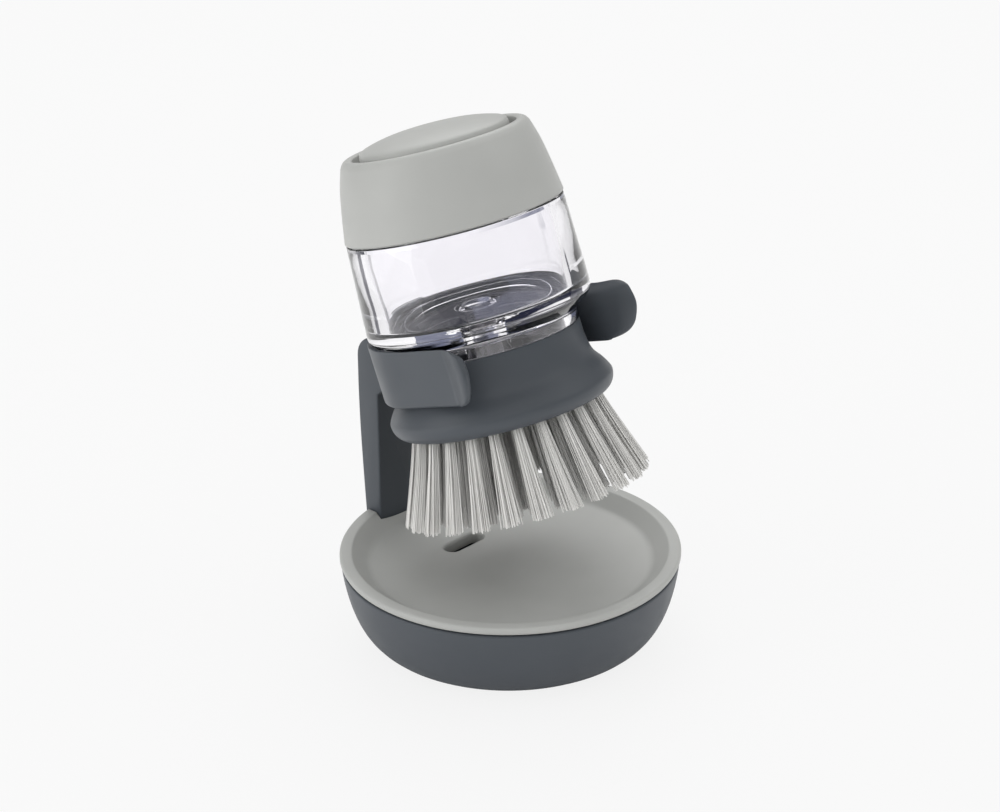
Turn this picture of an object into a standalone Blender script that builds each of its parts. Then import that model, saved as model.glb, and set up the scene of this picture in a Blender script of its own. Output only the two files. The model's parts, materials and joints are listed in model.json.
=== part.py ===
"""Palm dish brush with a soap reservoir, in a U-shaped cradle over a round drip dish.

Metres, +Z up. The origin is the middle of the non-slip pad under the dish. The upright stands at +Y
and the cradle opens towards -Y. The brush is modelled along its own axis, under an empty at the joint
between cap and reservoir, and that empty leans the whole brush back towards the upright.
"""
import math

import bmesh
import bpy
from mathutils import Matrix, Vector

# Gaps between pieces
FIT = 0.0003                     # between pieces that rest on or beside each other
SLIDE_FIT = 0.0004               # round a piece that slides or turns
OVERRUN = 0.0020                 # how far a cutter runs past the faces it opens
WELD = 0.000001                  # merge distance for turned points on the axis

# Dish: bowl, pad and tray
DISH_RADIUS = 0.0500
SEAM_SETBACK = 0.0004            # bowl rim lies this far inside the tray's rim
BOWL_HEIGHT = 0.0251
BOWL_WALL = 0.0024
BOWL_FLOOR = 0.0038
BOWL_SIDE_POWER = 10.0
BOWL_DEPTH_POWER = 1.27
BOWL_DEPTH_SHARES = (0.0, 0.20, 0.44, 0.66, 0.83, 0.94, 0.99)
PAD_PROUD = 0.0004               # pad stands this far below the bowl
PAD_THICKNESS = 0.0012
PAD_MARGIN = 0.0035
TRAY_RIM_HEIGHT = 0.0025
TRAY_LIP_WIDTH = 0.0042
TRAY_LIP_ROUND = 0.0012
TRAY_WALL_START = 140.0          # where the lip's rounding meets the well's wall, in degrees
TRAY_WELL_DEPTH = 0.0040
TRAY_WALL_RUN = 0.0042           # how far the well's wall slopes inwards
TRAY_DISHING = 0.0014
TRAY_FLOOR_SHARES = ((0.0, 0.0), (0.55, 0.34), (1.0, 1.0))
TRAY_THICKNESS = 0.0020
TRAY_SKIRT_DEPTH = 0.0033
TRAY_SKIRT_WALL = 0.0016
SLOT_LENGTH = 0.0153
SLOT_WIDTH = 0.0056
SLOT_OFFSET = 0.0189

# Brush, from the joint between cap and reservoir
BRUSH_TILT = math.radians(19.0)
BRUSH_RADIUS = 0.0329
RESERVOIR_TAPER = 0.0010
RESERVOIR_LENGTH = 0.0300        # joint to the lowest ring of the rounded bottom edge
RESERVOIR_EDGE_RISE = 0.0028
RESERVOIR_EDGE_RUN = 0.0014
RESERVOIR_EDGE_SHARES = ((0.0, 0.0), (0.55, 0.30), (1.0, 1.0))
UNDERSIDE_DROP = 0.0028
SHOULDER_WIDTH = 0.0054
NECK_LENGTH = 0.0064             # reservoir's lowest ring to the head
CAVITY_WALL = 0.0047
CAVITY_FLOOR = 0.0033            # floor's top above the lowest ring
CAVITY_FLOOR_THICKNESS = 0.0030
CAVITY_CORNER = 0.0014
MOUTH_WALL = 0.0020
MOUTH_SETBACK = 0.0030           # mouth's outer wall inside the reservoir's top
SKIRT_STEP = 0.0026              # neck's outer wall to the hidden skirt's
SKIRT_WALL = 0.0022
SKIRT_LENGTH = 0.0073
OUTLET_BORE = 0.0042
OUTLET_WALL = 0.0024

# Bayonet lugs and grooves, of cap and head
LUG_COUNT = 3
LUG_REACH = 0.0009
LUG_HEIGHT = 0.0016
LUG_DROP = 0.0034                # skirt's lug below the head's top
LUG_RISE = 0.0022                # mouth's lug above the joint
LUG_ANGLE = math.radians(20.0)
LUG_ROOT = 0.0006                # how deep a lug is rooted in its wall
TWIST_ANGLE = math.radians(40.0)
TWIST_SPARE = math.radians(3.0)
LUG_STEPS = 4

# Cap
CAP_PROUD = 0.0002
CAP_HEIGHT = 0.0239
CAP_SHOULDER_HEIGHT = 0.0203
CAP_DRAW_IN = 0.0040             # cap's foot to its shoulder
CAP_CREST_WIDTH = 0.0025         # shoulder to the crest of the lip
CAP_FOOT_ROUND = 0.0005
CAP_WALL = 0.0021
CAP_SIDE_SHARES = ((0.0, 0.0), (0.28, 0.22), (0.52, 0.42), (0.78, 0.68), (1.0, 1.0))
CAP_CROWN_SHARES = ((0.46, 0.16), (0.83, 0.48), (1.0, 1.0))
CAP_WEB_THICKNESS = 0.0022
CAP_WEB_MARGIN = 0.0011          # diaphragm's cone to the web's bore
CAP_LIP_DROP = 0.0047            # crest to the guide's upper edge
CAP_GUIDE_LENGTH = 0.0024
CAP_LIP_WALL = 0.0020
CAP_SOCKET_LENGTH = 0.0038
CAP_SOCKET_WALL = 0.0019

# Button and what is under it
BUTTON_INSET = 0.0037            # crest of the cap's lip to the button's edge
BUTTON_DOME = 0.0042             # top of the wall to the apex
BUTTON_APEX = 0.0273
BUTTON_WALL = 0.0020
BUTTON_TRAVEL = 0.0040
BUTTON_FLANGE = 0.0017
BUTTON_FLANGE_THICKNESS = 0.0014
BUTTON_PAD_MARGIN = 0.0005       # edge of the diaphragm's crown to the button's pad
BUTTON_PAD_DEPTH = 0.0016
BUTTON_DOME_SHARES = ((1.0, 0.0), (0.975, 0.33), (0.90, 0.56), (0.66, 0.82), (0.0, 1.0))
DIAPHRAGM_WALL = 0.0010
DIAPHRAGM_INSET = 0.0047         # button's edge to the foot of the diaphragm's cone
DIAPHRAGM_CROWN_SHARE = 0.494    # crown's radius, of the cone's foot
DIAPHRAGM_BRIM = 0.0045
PLATE_THICKNESS = 0.0017
PLATE_HUB_RADIUS = 0.0041
PLATE_HUB_HEIGHT = 0.0020
PLATE_HOLE_RADIUS = 0.0015
PLATE_HOLE_COUNT = 6
PLATE_HOLE_RING_SHARE = 0.56
SPRING_WIRE_RADIUS = 0.0004
SPRING_COILS = 4.5
SPRING_STEPS = 8                 # points in each coil
GASKET_THICKNESS = 0.0015
GASKET_MARGIN = 0.0002

# Head, bristles and valve
HEAD_SETBACK = 0.00015           # head's top edge inside the neck
HEAD_LENGTH = 0.0216
HEAD_FLARE_DEPTH = 0.0170        # head's top to its widest ring
HEAD_FOOT_DRAW_IN = 0.0038
HEAD_WAIST_SHARES = ((0.0, 0.0), (0.29, 0.05), (0.51, 0.16), (0.66, 0.34), (0.80, 0.67), (0.905, 0.88),
                     (1.0, 1.0))
HEAD_FOOT_SHARES = ((0.42, 0.07), (0.73, 0.27), (0.93, 0.58), (1.0, 1.0))
HEAD_FLOOR_THICKNESS = 0.0025
HEAD_WALL = 0.0026
HEAD_RIB = 0.0016
BACKING_MARGIN = 0.0011          # from the backing to the edge of the head's foot
BACKING_FIT = 0.0005             # round each slice of the backing, whose facets are turned
BACKING_THICKNESS = 0.0040
OUTER_BACKING_SHARE = 0.202      # of the width between the valve's boss and the edge
MIDDLE_BACKING_SHARE = 0.303
BRISTLE_LENGTH = 0.0255
STRAND_RADIUS = 0.00036
STRAND_TIP_SHARE = 0.85
STRAND_SIDES = 3
STRAND_ROOT = 0.0010             # how deep a strand is rooted in its backing
STRAND_UNEVENNESS = 0.0005
STRAND_CYCLE_SHARES = (0.38, 0.30)   # turns of the unevenness from tuft to tuft, and strand to strand
TUFT_ROOT_RADIUS = 0.0011
TUFT_TIP_DEPTH = 0.0019
TUFT_TIP_SPREAD = 0.0031
BACKING_STEPS = 24
OPEN_TUFT_STRANDS = 4            # a tuft of this many strands or fewer has none in its middle
OUTER_TUFTS = 24
OUTER_STRANDS = 7
OUTER_SPLAY = 0.0086
MIDDLE_TUFTS = 24
MIDDLE_STRANDS = 4
MIDDLE_SPLAY = 0.0046
INNER_TUFTS = 12
INNER_STRANDS = 4
INNER_SPLAY = 0.0020
INNER_SPREAD_SHARE = 0.65        # an inner tuft's spread, of an outer one's
VALVE_RADIUS = 0.0062
VALVE_FLANGE = 0.0011
VALVE_DOME = 0.0016
VALVE_SKIN = 0.0008
VALVE_BEND_SHARES = (0.60, 0.75)     # of the dome's radius and depth, where its side bends
VALVE_SLIT_LENGTH = 0.0044
VALVE_SLIT_WIDTH = 0.0004
VALVE_POCKET_DEPTH = 0.0050
RETAINER_WALL = 0.0018
RETAINER_DEPTH = 0.0030
VALVE_BOSS_WALL = 0.0022

# Stand: upright, cradle, foot and screws
TIP_CLEARANCE = 0.0074           # lowest bristle tip above the tray's lip
UPRIGHT_WIDTH = 0.0206
UPRIGHT_THICKNESS = 0.0064
UPRIGHT_PROUD = 0.0003           # upright's back outside the bowl's rim
UPRIGHT_BULGE = 0.0017
UPRIGHT_BULGE_SHARES = ((0.0, 0.0), (0.25, 0.50), (0.48, 0.87), (0.68, 1.0), (0.86, 0.93))
UPRIGHT_TOP_ROUND = 0.0068
UPRIGHT_EDGE = 0.0006
UPRIGHT_TOP_DROP = 0.0033        # upright's top below the cradle's top edge at the back
NOTCH_DEPTH = 0.0135             # bowl's rim to the floor of its notch
NOTCH_FIT = 0.0004
CRADLE_HEIGHT = 0.0178
CRADLE_LIP = 0.0005              # cradle's outer wall outside the reservoir's
CRADLE_DRAW_IN = 0.0007
CRADLE_STANDOFF = 0.0014
CRADLE_RISE = 0.0008             # cradle's top edge above the reservoir's lowest ring
CRADLE_FIT = 0.00035
CRADLE_ROOT = 0.0020             # how deep the upright's web is rooted in the cradle
WEB_DROP = 0.0040                # web's foot below the cradle's back
ARM_STRAIGHT = 0.0170            # brush axis to the crease where the arm's tip turns out
ARM_REACH = 0.0276               # brush axis to the arm's end
ARM_FLARE = 0.0053
ARM_INNER_FLARE = 0.0062
ARM_NARROWING = 0.0012           # straight arms inside the round back's radius
ARM_END_SHARES = ((0.0, 0.22), (0.03, 0.155), (0.11, 0.08), (0.24, 0.028), (0.48, 0.0), (0.74, 0.045),
                  (0.88, 0.12), (0.96, 0.23), (1.0, 0.36))
FOOT_WIDTH = 0.0160
FOOT_THICKNESS = 0.0034
FOOT_LENGTH = 0.0300             # upright's front to the end of the foot
FOOT_JOIN = 0.0044               # foot's rear overlap with the upright, above the notch's floor
BRACE_REACH = 0.0045             # upright's front to the bend of the brace
BRACE_DROP = 0.0022
BRACE_LENGTH = 0.0090
SCREW_SPREAD = 0.0052
SCREW_INSET = 0.0060             # end of the foot to the screws
SCREW_HEAD_RADIUS = 0.0026
SCREW_HEAD_HEIGHT = 0.0012
SCREW_RADIUS = 0.0013
SCREW_SOCKET_RADIUS = 0.0012
SCREW_SOCKET_DEPTH = 0.0006
SOCKET_SIDES = 6
BOSS_WALL = 0.0018
BOSS_HEIGHT = 0.0022

# Facets round each turned piece
DISH_STEPS = 36
BRUSH_STEPS = 32
INNER_STEPS = 24
SMALL_STEPS = 12
HOLE_STEPS = 8
ROUND_STEPS = 2                  # facets in a small rounded edge
BACK_STEPS = 16                  # facets round the cradle's back, half of BRUSH_STEPS
UPRIGHT_TOP_STEPS = 4
SHARP_ANGLE = math.radians(32.0)
BEVEL_ANGLE = math.radians(60.0)

# Heights in the dish
bowl_base = PAD_PROUD
bowl_rim = bowl_base + BOWL_HEIGHT
bowl_radius = DISH_RADIUS - SEAM_SETBACK
bowl_floor = bowl_base + BOWL_FLOOR
tray_seat = bowl_rim + FIT
tray_top = tray_seat + TRAY_RIM_HEIGHT

# Levels and radii along the brush axis, with the joint at zero
reservoir_top_radius = BRUSH_RADIUS - RESERVOIR_TAPER
neck_radius = BRUSH_RADIUS - SHOULDER_WIDTH
cavity_radius = reservoir_top_radius - CAVITY_WALL
cavity_floor = CAVITY_FLOOR - RESERVOIR_LENGTH
mouth_radius = reservoir_top_radius - MOUTH_SETBACK
skirt_radius = neck_radius - SKIRT_STEP
head_top = -RESERVOIR_LENGTH - NECK_LENGTH
skirt_end = head_top - SKIRT_LENGTH
head_floor = skirt_end - 2 * FIT - GASKET_THICKNESS
head_foot = head_top - HEAD_LENGTH
outlet_radius = OUTLET_BORE + OUTLET_WALL
entry_angle = LUG_ANGLE + 2 * TWIST_SPARE
cap_foot_radius = reservoir_top_radius + CAP_PROUD
cap_shoulder_radius = cap_foot_radius - CAP_DRAW_IN
cap_crest_radius = cap_shoulder_radius - CAP_CREST_WIDTH
cap_bore = mouth_radius + FIT
button_radius = cap_crest_radius - BUTTON_INSET
guide_radius = button_radius + SLIDE_FIT
guide_top = CAP_HEIGHT - CAP_LIP_DROP
guide_foot = guide_top - CAP_GUIDE_LENGTH
flange_top = guide_foot - FIT
flange_foot = flange_top - BUTTON_FLANGE_THICKNESS
web_top = flange_foot - BUTTON_TRAVEL - FIT
web_foot = web_top - CAP_WEB_THICKNESS
mouth_top = web_foot - GASKET_THICKNESS - 2 * FIT
brim_foot = web_foot - FIT - DIAPHRAGM_WALL
plate_top = brim_foot - FIT
diaphragm_foot = button_radius - DIAPHRAGM_INSET
diaphragm_crown = diaphragm_foot * DIAPHRAGM_CROWN_SHARE
plate_radius = diaphragm_foot + DIAPHRAGM_BRIM
web_bore = diaphragm_foot + CAP_WEB_MARGIN
button_wall_top = BUTTON_APEX - BUTTON_DOME
button_under = button_wall_top + (BUTTON_DOME - BUTTON_WALL) / 2
crown_top = button_under - BUTTON_PAD_DEPTH - FIT
backing_radius = BRUSH_RADIUS - HEAD_FOOT_DRAW_IN - BACKING_MARGIN
backing_top = head_foot + BACKING_THICKNESS
valve_pocket = VALVE_RADIUS + FIT
boss_radius = valve_pocket + VALVE_BOSS_WALL
rings_width = backing_radius - boss_radius - 3 * BACKING_FIT
outer_width = rings_width * OUTER_BACKING_SHARE
middle_width = rings_width * MIDDLE_BACKING_SHARE
inner_width = rings_width - outer_width - middle_width
middle_radius = backing_radius - outer_width - BACKING_FIT
inner_radius = middle_radius - middle_width - BACKING_FIT
bristle_tip = head_foot - BRISTLE_LENGTH
bristle_reach = backing_radius - outer_width / 2 + OUTER_SPLAY + TUFT_TIP_DEPTH

# Cradle along the brush axis, the foot in the bowl, and the brush's place over the dish
cradle_top = -RESERVOIR_LENGTH + CRADLE_RISE
cradle_foot = cradle_top - CRADLE_HEIGHT
cradle_radius = BRUSH_RADIUS + CRADLE_LIP
upright_rear = bowl_radius + UPRIGHT_PROUD
upright_front = upright_rear - UPRIGHT_THICKNESS
foot_low = bowl_floor + FIT
foot_top = foot_low + FOOT_THICKNESS
foot_end = upright_front - FOOT_LENGTH
screw_y = foot_end + SCREW_INSET
tilt_sin = math.sin(BRUSH_TILT)
tilt_cos = math.cos(BRUSH_TILT)
joint_y = upright_front - CRADLE_STANDOFF - cradle_top * tilt_sin - cradle_radius * tilt_cos
joint_z = tray_top + TIP_CLEARANCE - bristle_tip * tilt_cos + bristle_reach * tilt_sin


def brush_point(level, back):
    """World (y, z) of a point on the mirror plane: along the brush axis, and square to it."""
    return (joint_y + level * tilt_sin + back * tilt_cos, joint_z + level * tilt_cos - back * tilt_sin)


# Scene and mesh helpers

def clear_scene():
    """Start from an empty scene."""
    for item in list(bpy.data.objects):
        bpy.data.objects.remove(item, do_unlink=True)


def plastic(name, colour, roughness, transmission=0.0):
    """A plain dielectric material."""
    material = bpy.data.materials.new(name)
    material.use_nodes = True
    shader = material.node_tree.nodes["Principled BSDF"]
    shader.inputs["Base Color"].default_value = (*colour, 1.0)
    shader.inputs["Roughness"].default_value = roughness
    shader.inputs["Transmission Weight"].default_value = transmission
    return material


def steel(name, colour, roughness):
    """A bare metal material."""
    material = plastic(name, colour, roughness)
    material.node_tree.nodes["Principled BSDF"].inputs["Metallic"].default_value = 1.0
    return material


def finish(bm, name):
    """Turn a bmesh into a linked object with its faces pointing out."""
    bmesh.ops.recalc_face_normals(bm, faces=bm.faces[:])
    mesh = bpy.data.meshes.new(name)
    bm.to_mesh(mesh)
    bm.free()
    item = bpy.data.objects.new(name, mesh)
    bpy.context.collection.objects.link(item)
    return item


def piece(item, material, parent=None):
    """Give an object its material and its parent."""
    item.data.materials.append(material)
    item.parent = parent
    if item.type == "MESH":
        item.data.shade_smooth()
        item.data.set_sharp_from_angle(angle=SHARP_ANGLE)
    return item


def guide(item, parent=None):
    """Mark an object as a cutter or a guide, which is not part of the model."""
    item.hide_render = True
    item.display_type = "WIRE"
    item.parent = parent
    return item


def combine(item, other, operation):
    """Cut, join or keep one object's shape with another's."""
    modifier = item.modifiers.new(operation.title(), "BOOLEAN")
    modifier.operation = operation
    modifier.solver = "EXACT"
    modifier.object = other


def turned(name, outline, steps):
    """Spin an outline of (radius, level) points round Z. One that leaves the axis ends on it."""
    bm = bmesh.new()
    ring = [bm.verts.new((radius, 0.0, level)) for radius, level in outline]
    edges = [bm.edges.new(pair) for pair in zip(ring, ring[1:])]
    if outline[0][0] > 0.0:
        edges.append(bm.edges.new((ring[-1], ring[0])))
    bmesh.ops.spin(bm, geom=ring + edges, cent=(0.0, 0.0, 0.0), axis=(0.0, 0.0, 1.0),
                   dvec=(0.0, 0.0, 0.0), angle=math.tau, steps=steps, use_merge=True)
    bmesh.ops.remove_doubles(bm, verts=bm.verts[:], dist=WELD)
    return finish(bm, name)


def loft(name, rings):
    """Skin a stack of rings, each a list of as many points, and close both ends."""
    bm = bmesh.new()
    rows = [[bm.verts.new(point) for point in ring] for ring in rings]
    for lower, upper in zip(rows, rows[1:]):
        for index in range(len(lower)):
            following = (index + 1) % len(lower)
            bm.faces.new((lower[index], lower[following], upper[following], upper[index]))
    bm.faces.new(rows[0])
    bm.faces.new(rows[-1])
    return finish(bm, name)


def slab(name, outline, low, high, axis="Z"):
    """Extrude an outline of 2D points between two levels along Z, or along X for (y, z) points."""
    if axis == "Z":
        rings = [[(x, y, level) for x, y in outline] for level in (low, high)]
    else:
        rings = [[(level, y, z) for y, z in outline] for level in (low, high)]
    return loft(name, rings)


def box(name, low, high):
    """A box between two corners."""
    outline = [(low[0], low[1]), (high[0], low[1]), (high[0], high[1]), (low[0], high[1])]
    return slab(name, outline, low[2], high[2])


def sectors(name, inner, outer, low, high, middles, width):
    """Ring sectors, one round each middle angle, as one mesh of separate blocks."""
    bm = bmesh.new()
    for middle in middles:
        angles = [middle - width / 2 + width * step / LUG_STEPS for step in range(LUG_STEPS + 1)]
        outline = [(outer * math.cos(angle), outer * math.sin(angle)) for angle in angles]
        outline += [(inner * math.cos(angle), inner * math.sin(angle)) for angle in reversed(angles)]
        rows = [[bm.verts.new((x, y, level)) for x, y in outline] for level in (low, high)]
        for index in range(len(outline)):
            following = (index + 1) % len(outline)
            bm.faces.new((rows[0][index], rows[0][following], rows[1][following], rows[1][index]))
        bm.faces.new(rows[0])
        bm.faces.new(rows[1])
    return finish(bm, name)


def arc(centre, radius, start, end, steps):
    """Points of a rounded edge in the outline's plane, between two angles in degrees."""
    points = []
    for step in range(steps + 1):
        angle = math.radians(start + (end - start) * step / steps)
        points.append((centre[0] + radius * math.cos(angle), centre[1] + radius * math.sin(angle)))
    return points


def shared(start, end, shares):
    """Points from start to end, a (radius, level) pair each, by shares of the run along each of them."""
    (radius, level), (last_radius, last_level) = start, end
    return [(radius + (last_radius - radius) * across, level + (last_level - level) * along)
            for along, across in shares]


# Outlines that more than one piece follows

def bowl_width(radius, share):
    """Radius of the bowl's curved side at a share of its depth, as a superellipse."""
    return radius * (1.0 - share ** BOWL_DEPTH_POWER) ** (1.0 / BOWL_SIDE_POWER)


def bowl_outline(radius, top, height):
    """The bowl's curved side from its rim down to its flat base."""
    points = [(bowl_width(radius, share), top - height * share) for share in BOWL_DEPTH_SHARES]
    points[-1] = (points[-1][0], top - height)
    return points


def reservoir_side():
    """The reservoir's outer wall, rounded lower edge and underside, from its top to the neck."""
    lowest = -RESERVOIR_LENGTH
    edge = shared((BRUSH_RADIUS, lowest + RESERVOIR_EDGE_RISE), (BRUSH_RADIUS - RESERVOIR_EDGE_RUN, lowest),
                  RESERVOIR_EDGE_SHARES)
    return [(reservoir_top_radius, -FIT)] + edge + [(neck_radius, lowest - UNDERSIDE_DROP)]


def head_side():
    """The head's outer wall from its top edge over the widest ring to its foot."""
    top = (neck_radius - HEAD_SETBACK, head_top)
    widest = (BRUSH_RADIUS, head_top - HEAD_FLARE_DEPTH)
    foot = (BRUSH_RADIUS - HEAD_FOOT_DRAW_IN, head_foot)
    return shared(top, widest, HEAD_WAIST_SHARES) + shared(widest, foot, HEAD_FOOT_SHARES)


def lug_angles(offset=0.0):
    """Middle angles of the bayonet lugs."""
    return [math.pi / 2 + math.tau * index / LUG_COUNT + offset for index in range(LUG_COUNT)]


# Dish

def make_base_bowl(materials):
    """Bowl with a pad recess below, a notch for the upright and holes for its screws."""
    side = bowl_outline(bowl_radius, bowl_rim, BOWL_HEIGHT)
    inside = bowl_outline(bowl_radius - BOWL_WALL, bowl_rim, BOWL_HEIGHT - BOWL_FLOOR)
    pad_edge = side[-1][0] - PAD_MARGIN
    recess = PAD_THICKNESS + FIT
    outline = side + [(pad_edge, bowl_base), (pad_edge, recess), (0.0, recess)]
    outline = outline[::-1] + inside + [(0.0, bowl_floor)]
    bowl = piece(turned("base_bowl", outline, DISH_STEPS), materials["dark"])
    half = UPRIGHT_WIDTH / 2 + NOTCH_FIT
    notch = box("bowl_notch", (-half, upright_front - NOTCH_FIT, bowl_rim - NOTCH_DEPTH),
                (half, DISH_RADIUS + OVERRUN, bowl_rim + OVERRUN))
    combine(bowl, guide(notch), "DIFFERENCE")
    for sign in (-1, 1):
        depth = recess + SCREW_HEAD_HEIGHT + FIT
        hole = [(0.0, recess - OVERRUN), (SCREW_HEAD_RADIUS + FIT, recess - OVERRUN),
                (SCREW_HEAD_RADIUS + FIT, depth), (SCREW_RADIUS + FIT, depth),
                (SCREW_RADIUS + FIT, bowl_floor + OVERRUN), (0.0, bowl_floor + OVERRUN)]
        cutter = guide(turned("bowl_screw_hole", hole, SMALL_STEPS))
        cutter.location = (sign * SCREW_SPREAD, screw_y, 0.0)
        combine(bowl, cutter, "DIFFERENCE")
    return bowl


def make_foot_pad(materials):
    """Non-slip disc in the bowl's underside, which the whole object stands on."""
    edge = bowl_outline(bowl_radius, bowl_rim, BOWL_HEIGHT)[-1][0] - PAD_MARGIN - FIT
    outline = [(0.0, 0.0), (edge, 0.0), (edge, PAD_THICKNESS), (0.0, PAD_THICKNESS)]
    return piece(turned("foot_pad", outline, BRUSH_STEPS), materials["rubber"])


def make_drip_tray(materials):
    """Dished tray with a rounded rim, a skirt inside the bowl, a drain slot and a rear notch."""
    lip_inner = DISH_RADIUS - TRAY_LIP_WIDTH
    well_radius = lip_inner - TRAY_WALL_RUN
    floor = tray_top - TRAY_WELL_DEPTH - TRAY_DISHING
    round_level = tray_top - TRAY_LIP_ROUND
    skirt = bowl_radius - BOWL_WALL - FIT
    skirt_foot = tray_seat - TRAY_SKIRT_DEPTH
    skirt_end = bowl_width(skirt, BOWL_DEPTH_SHARES[1]) - FIT
    well = [(well_radius * out, floor + TRAY_DISHING * up) for out, up in TRAY_FLOOR_SHARES]
    under = [(radius, level - TRAY_THICKNESS) for radius, level in reversed(well)]
    outline = well
    outline += arc((lip_inner + TRAY_LIP_ROUND, round_level), TRAY_LIP_ROUND, TRAY_WALL_START, 90.0,
                   ROUND_STEPS)
    outline += arc((DISH_RADIUS - TRAY_LIP_ROUND, round_level), TRAY_LIP_ROUND, 90.0, 0.0, ROUND_STEPS)
    outline += [(bowl_radius, tray_seat),
                (skirt, tray_seat),
                (skirt_end, skirt_foot),
                (skirt_end - TRAY_SKIRT_WALL, skirt_foot),
                (skirt_end - TRAY_SKIRT_WALL, tray_seat)]
    outline += under
    tray = piece(turned("drip_tray", outline, DISH_STEPS), materials["light"])
    half = UPRIGHT_WIDTH / 2 + NOTCH_FIT
    notch = box("tray_notch", (-half, upright_front - NOTCH_FIT, skirt_foot - OVERRUN),
                (half, DISH_RADIUS + OVERRUN, tray_top + OVERRUN))
    combine(tray, guide(notch), "DIFFERENCE")
    combine(tray, guide(make_slot_cutter(floor)), "DIFFERENCE")
    return tray


def make_slot_cutter(floor):
    """Round-ended block for the drain slot, which runs across the mirror plane."""
    end = SLOT_WIDTH / 2
    reach = SLOT_LENGTH / 2 - end
    outline = []
    for sign, start in ((1, -90.0), (-1, 90.0)):
        outline += arc((sign * reach, SLOT_OFFSET), end, start, start + 180.0, SMALL_STEPS // 2)
    return slab("tray_slot", outline, floor - TRAY_THICKNESS - OVERRUN, tray_top)


# Reservoir and cap

def make_reservoir(materials, frame):
    """Thick clear cup with a mouth for the cap, and a neck, skirt and outlet tube for the head."""
    cavity_foot = cavity_radius - CAVITY_CORNER
    floor_under = cavity_floor - CAVITY_FLOOR_THICKNESS
    skirt_bore = skirt_radius - SKIRT_WALL
    mouth_bore = mouth_radius - MOUTH_WALL
    outline = [(mouth_radius, mouth_top), (mouth_radius, -FIT)] + reservoir_side()
    outline += [(neck_radius, head_top + FIT),
                (skirt_radius, head_top + FIT),
                (skirt_radius, skirt_end),
                (skirt_bore, skirt_end),
                (skirt_bore, floor_under),
                (outlet_radius, floor_under),
                (outlet_radius, skirt_end),
                (OUTLET_BORE, skirt_end),
                (OUTLET_BORE, cavity_floor),
                (cavity_foot, cavity_floor),
                (cavity_radius, cavity_floor + CAVITY_CORNER),
                (cavity_radius, -FIT - MOUTH_WALL),
                (mouth_bore, -FIT),
                (mouth_bore, mouth_top)]
    cup = piece(turned("reservoir", outline, BRUSH_STEPS), materials["clear"], frame)
    for name, radius, level in (("mouth_lugs", mouth_radius, LUG_RISE),
                                ("skirt_lugs", skirt_radius, head_top - LUG_DROP - LUG_HEIGHT)):
        lugs = sectors(name, radius - LUG_ROOT, radius + LUG_REACH, level, level + LUG_HEIGHT,
                       lug_angles(), LUG_ANGLE)
        combine(cup, guide(lugs, frame), "UNION")
    return cup


def make_cap_collar(materials, frame):
    """Cap that locks on the mouth, with a funnel lip, a guide for the button and a web below it."""
    groove = cap_bore + LUG_REACH
    shoulder = (cap_shoulder_radius, CAP_SHOULDER_HEIGHT)
    side = shared((cap_foot_radius, CAP_FOOT_ROUND), shoulder, CAP_SIDE_SHARES)
    crown = shared(shoulder, (cap_crest_radius, CAP_HEIGHT), CAP_CROWN_SHARES)
    socket_radius = plate_radius + FIT
    socket_foot = web_foot - CAP_SOCKET_LENGTH
    lip_back = guide_radius + CAP_LIP_WALL
    outline = [(cap_foot_radius - CAP_FOOT_ROUND, 0.0)] + side + crown
    outline += [(cap_crest_radius - CAP_FOOT_ROUND, CAP_HEIGHT - CAP_FOOT_ROUND),
                (guide_radius, guide_top),
                (guide_radius, guide_foot),
                (lip_back, guide_foot),
                (lip_back, guide_top),
                (cap_shoulder_radius - CAP_WALL, CAP_SHOULDER_HEIGHT),
                (cap_bore - CAP_WALL / 2, web_top),
                (web_bore, web_top),
                (web_bore, web_foot),
                (socket_radius, web_foot),
                (socket_radius, socket_foot),
                (socket_radius + CAP_SOCKET_WALL, socket_foot),
                (socket_radius + CAP_SOCKET_WALL, web_foot),
                (cap_bore, web_foot),
                (cap_bore, LUG_RISE + LUG_HEIGHT + FIT),
                (groove, LUG_RISE + LUG_HEIGHT + FIT),
                (groove, LUG_RISE - FIT),
                (cap_bore, LUG_RISE - FIT),
                (cap_bore, 0.0)]
    collar = piece(turned("cap_collar", outline, BRUSH_STEPS), materials["light"], frame)
    entries = sectors("cap_entries", cap_bore - LUG_ROOT, groove, -OVERRUN, LUG_RISE,
                      lug_angles(-TWIST_ANGLE), entry_angle)
    combine(collar, guide(entries, frame), "DIFFERENCE")
    return collar


def make_press_button(materials, frame):
    """Domed button with a skirt, a flange that stops under the cap's guide and a pad on its underside."""
    bore = button_radius - BUTTON_WALL
    dome = [(button_radius * across, button_wall_top + BUTTON_DOME * up) for across, up in BUTTON_DOME_SHARES]
    pad = diaphragm_crown - BUTTON_PAD_MARGIN
    outline = [(0.0, button_under - BUTTON_PAD_DEPTH),
               (pad, button_under - BUTTON_PAD_DEPTH),
               (pad, button_under),
               (bore, button_wall_top - BUTTON_WALL / 2),
               (bore, flange_foot),
               (button_radius + BUTTON_FLANGE, flange_foot),
               (button_radius + BUTTON_FLANGE, flange_top),
               (button_radius, flange_top)] + dome
    return piece(turned("press_button", outline, BRUSH_STEPS), materials["light"], frame)


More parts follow.
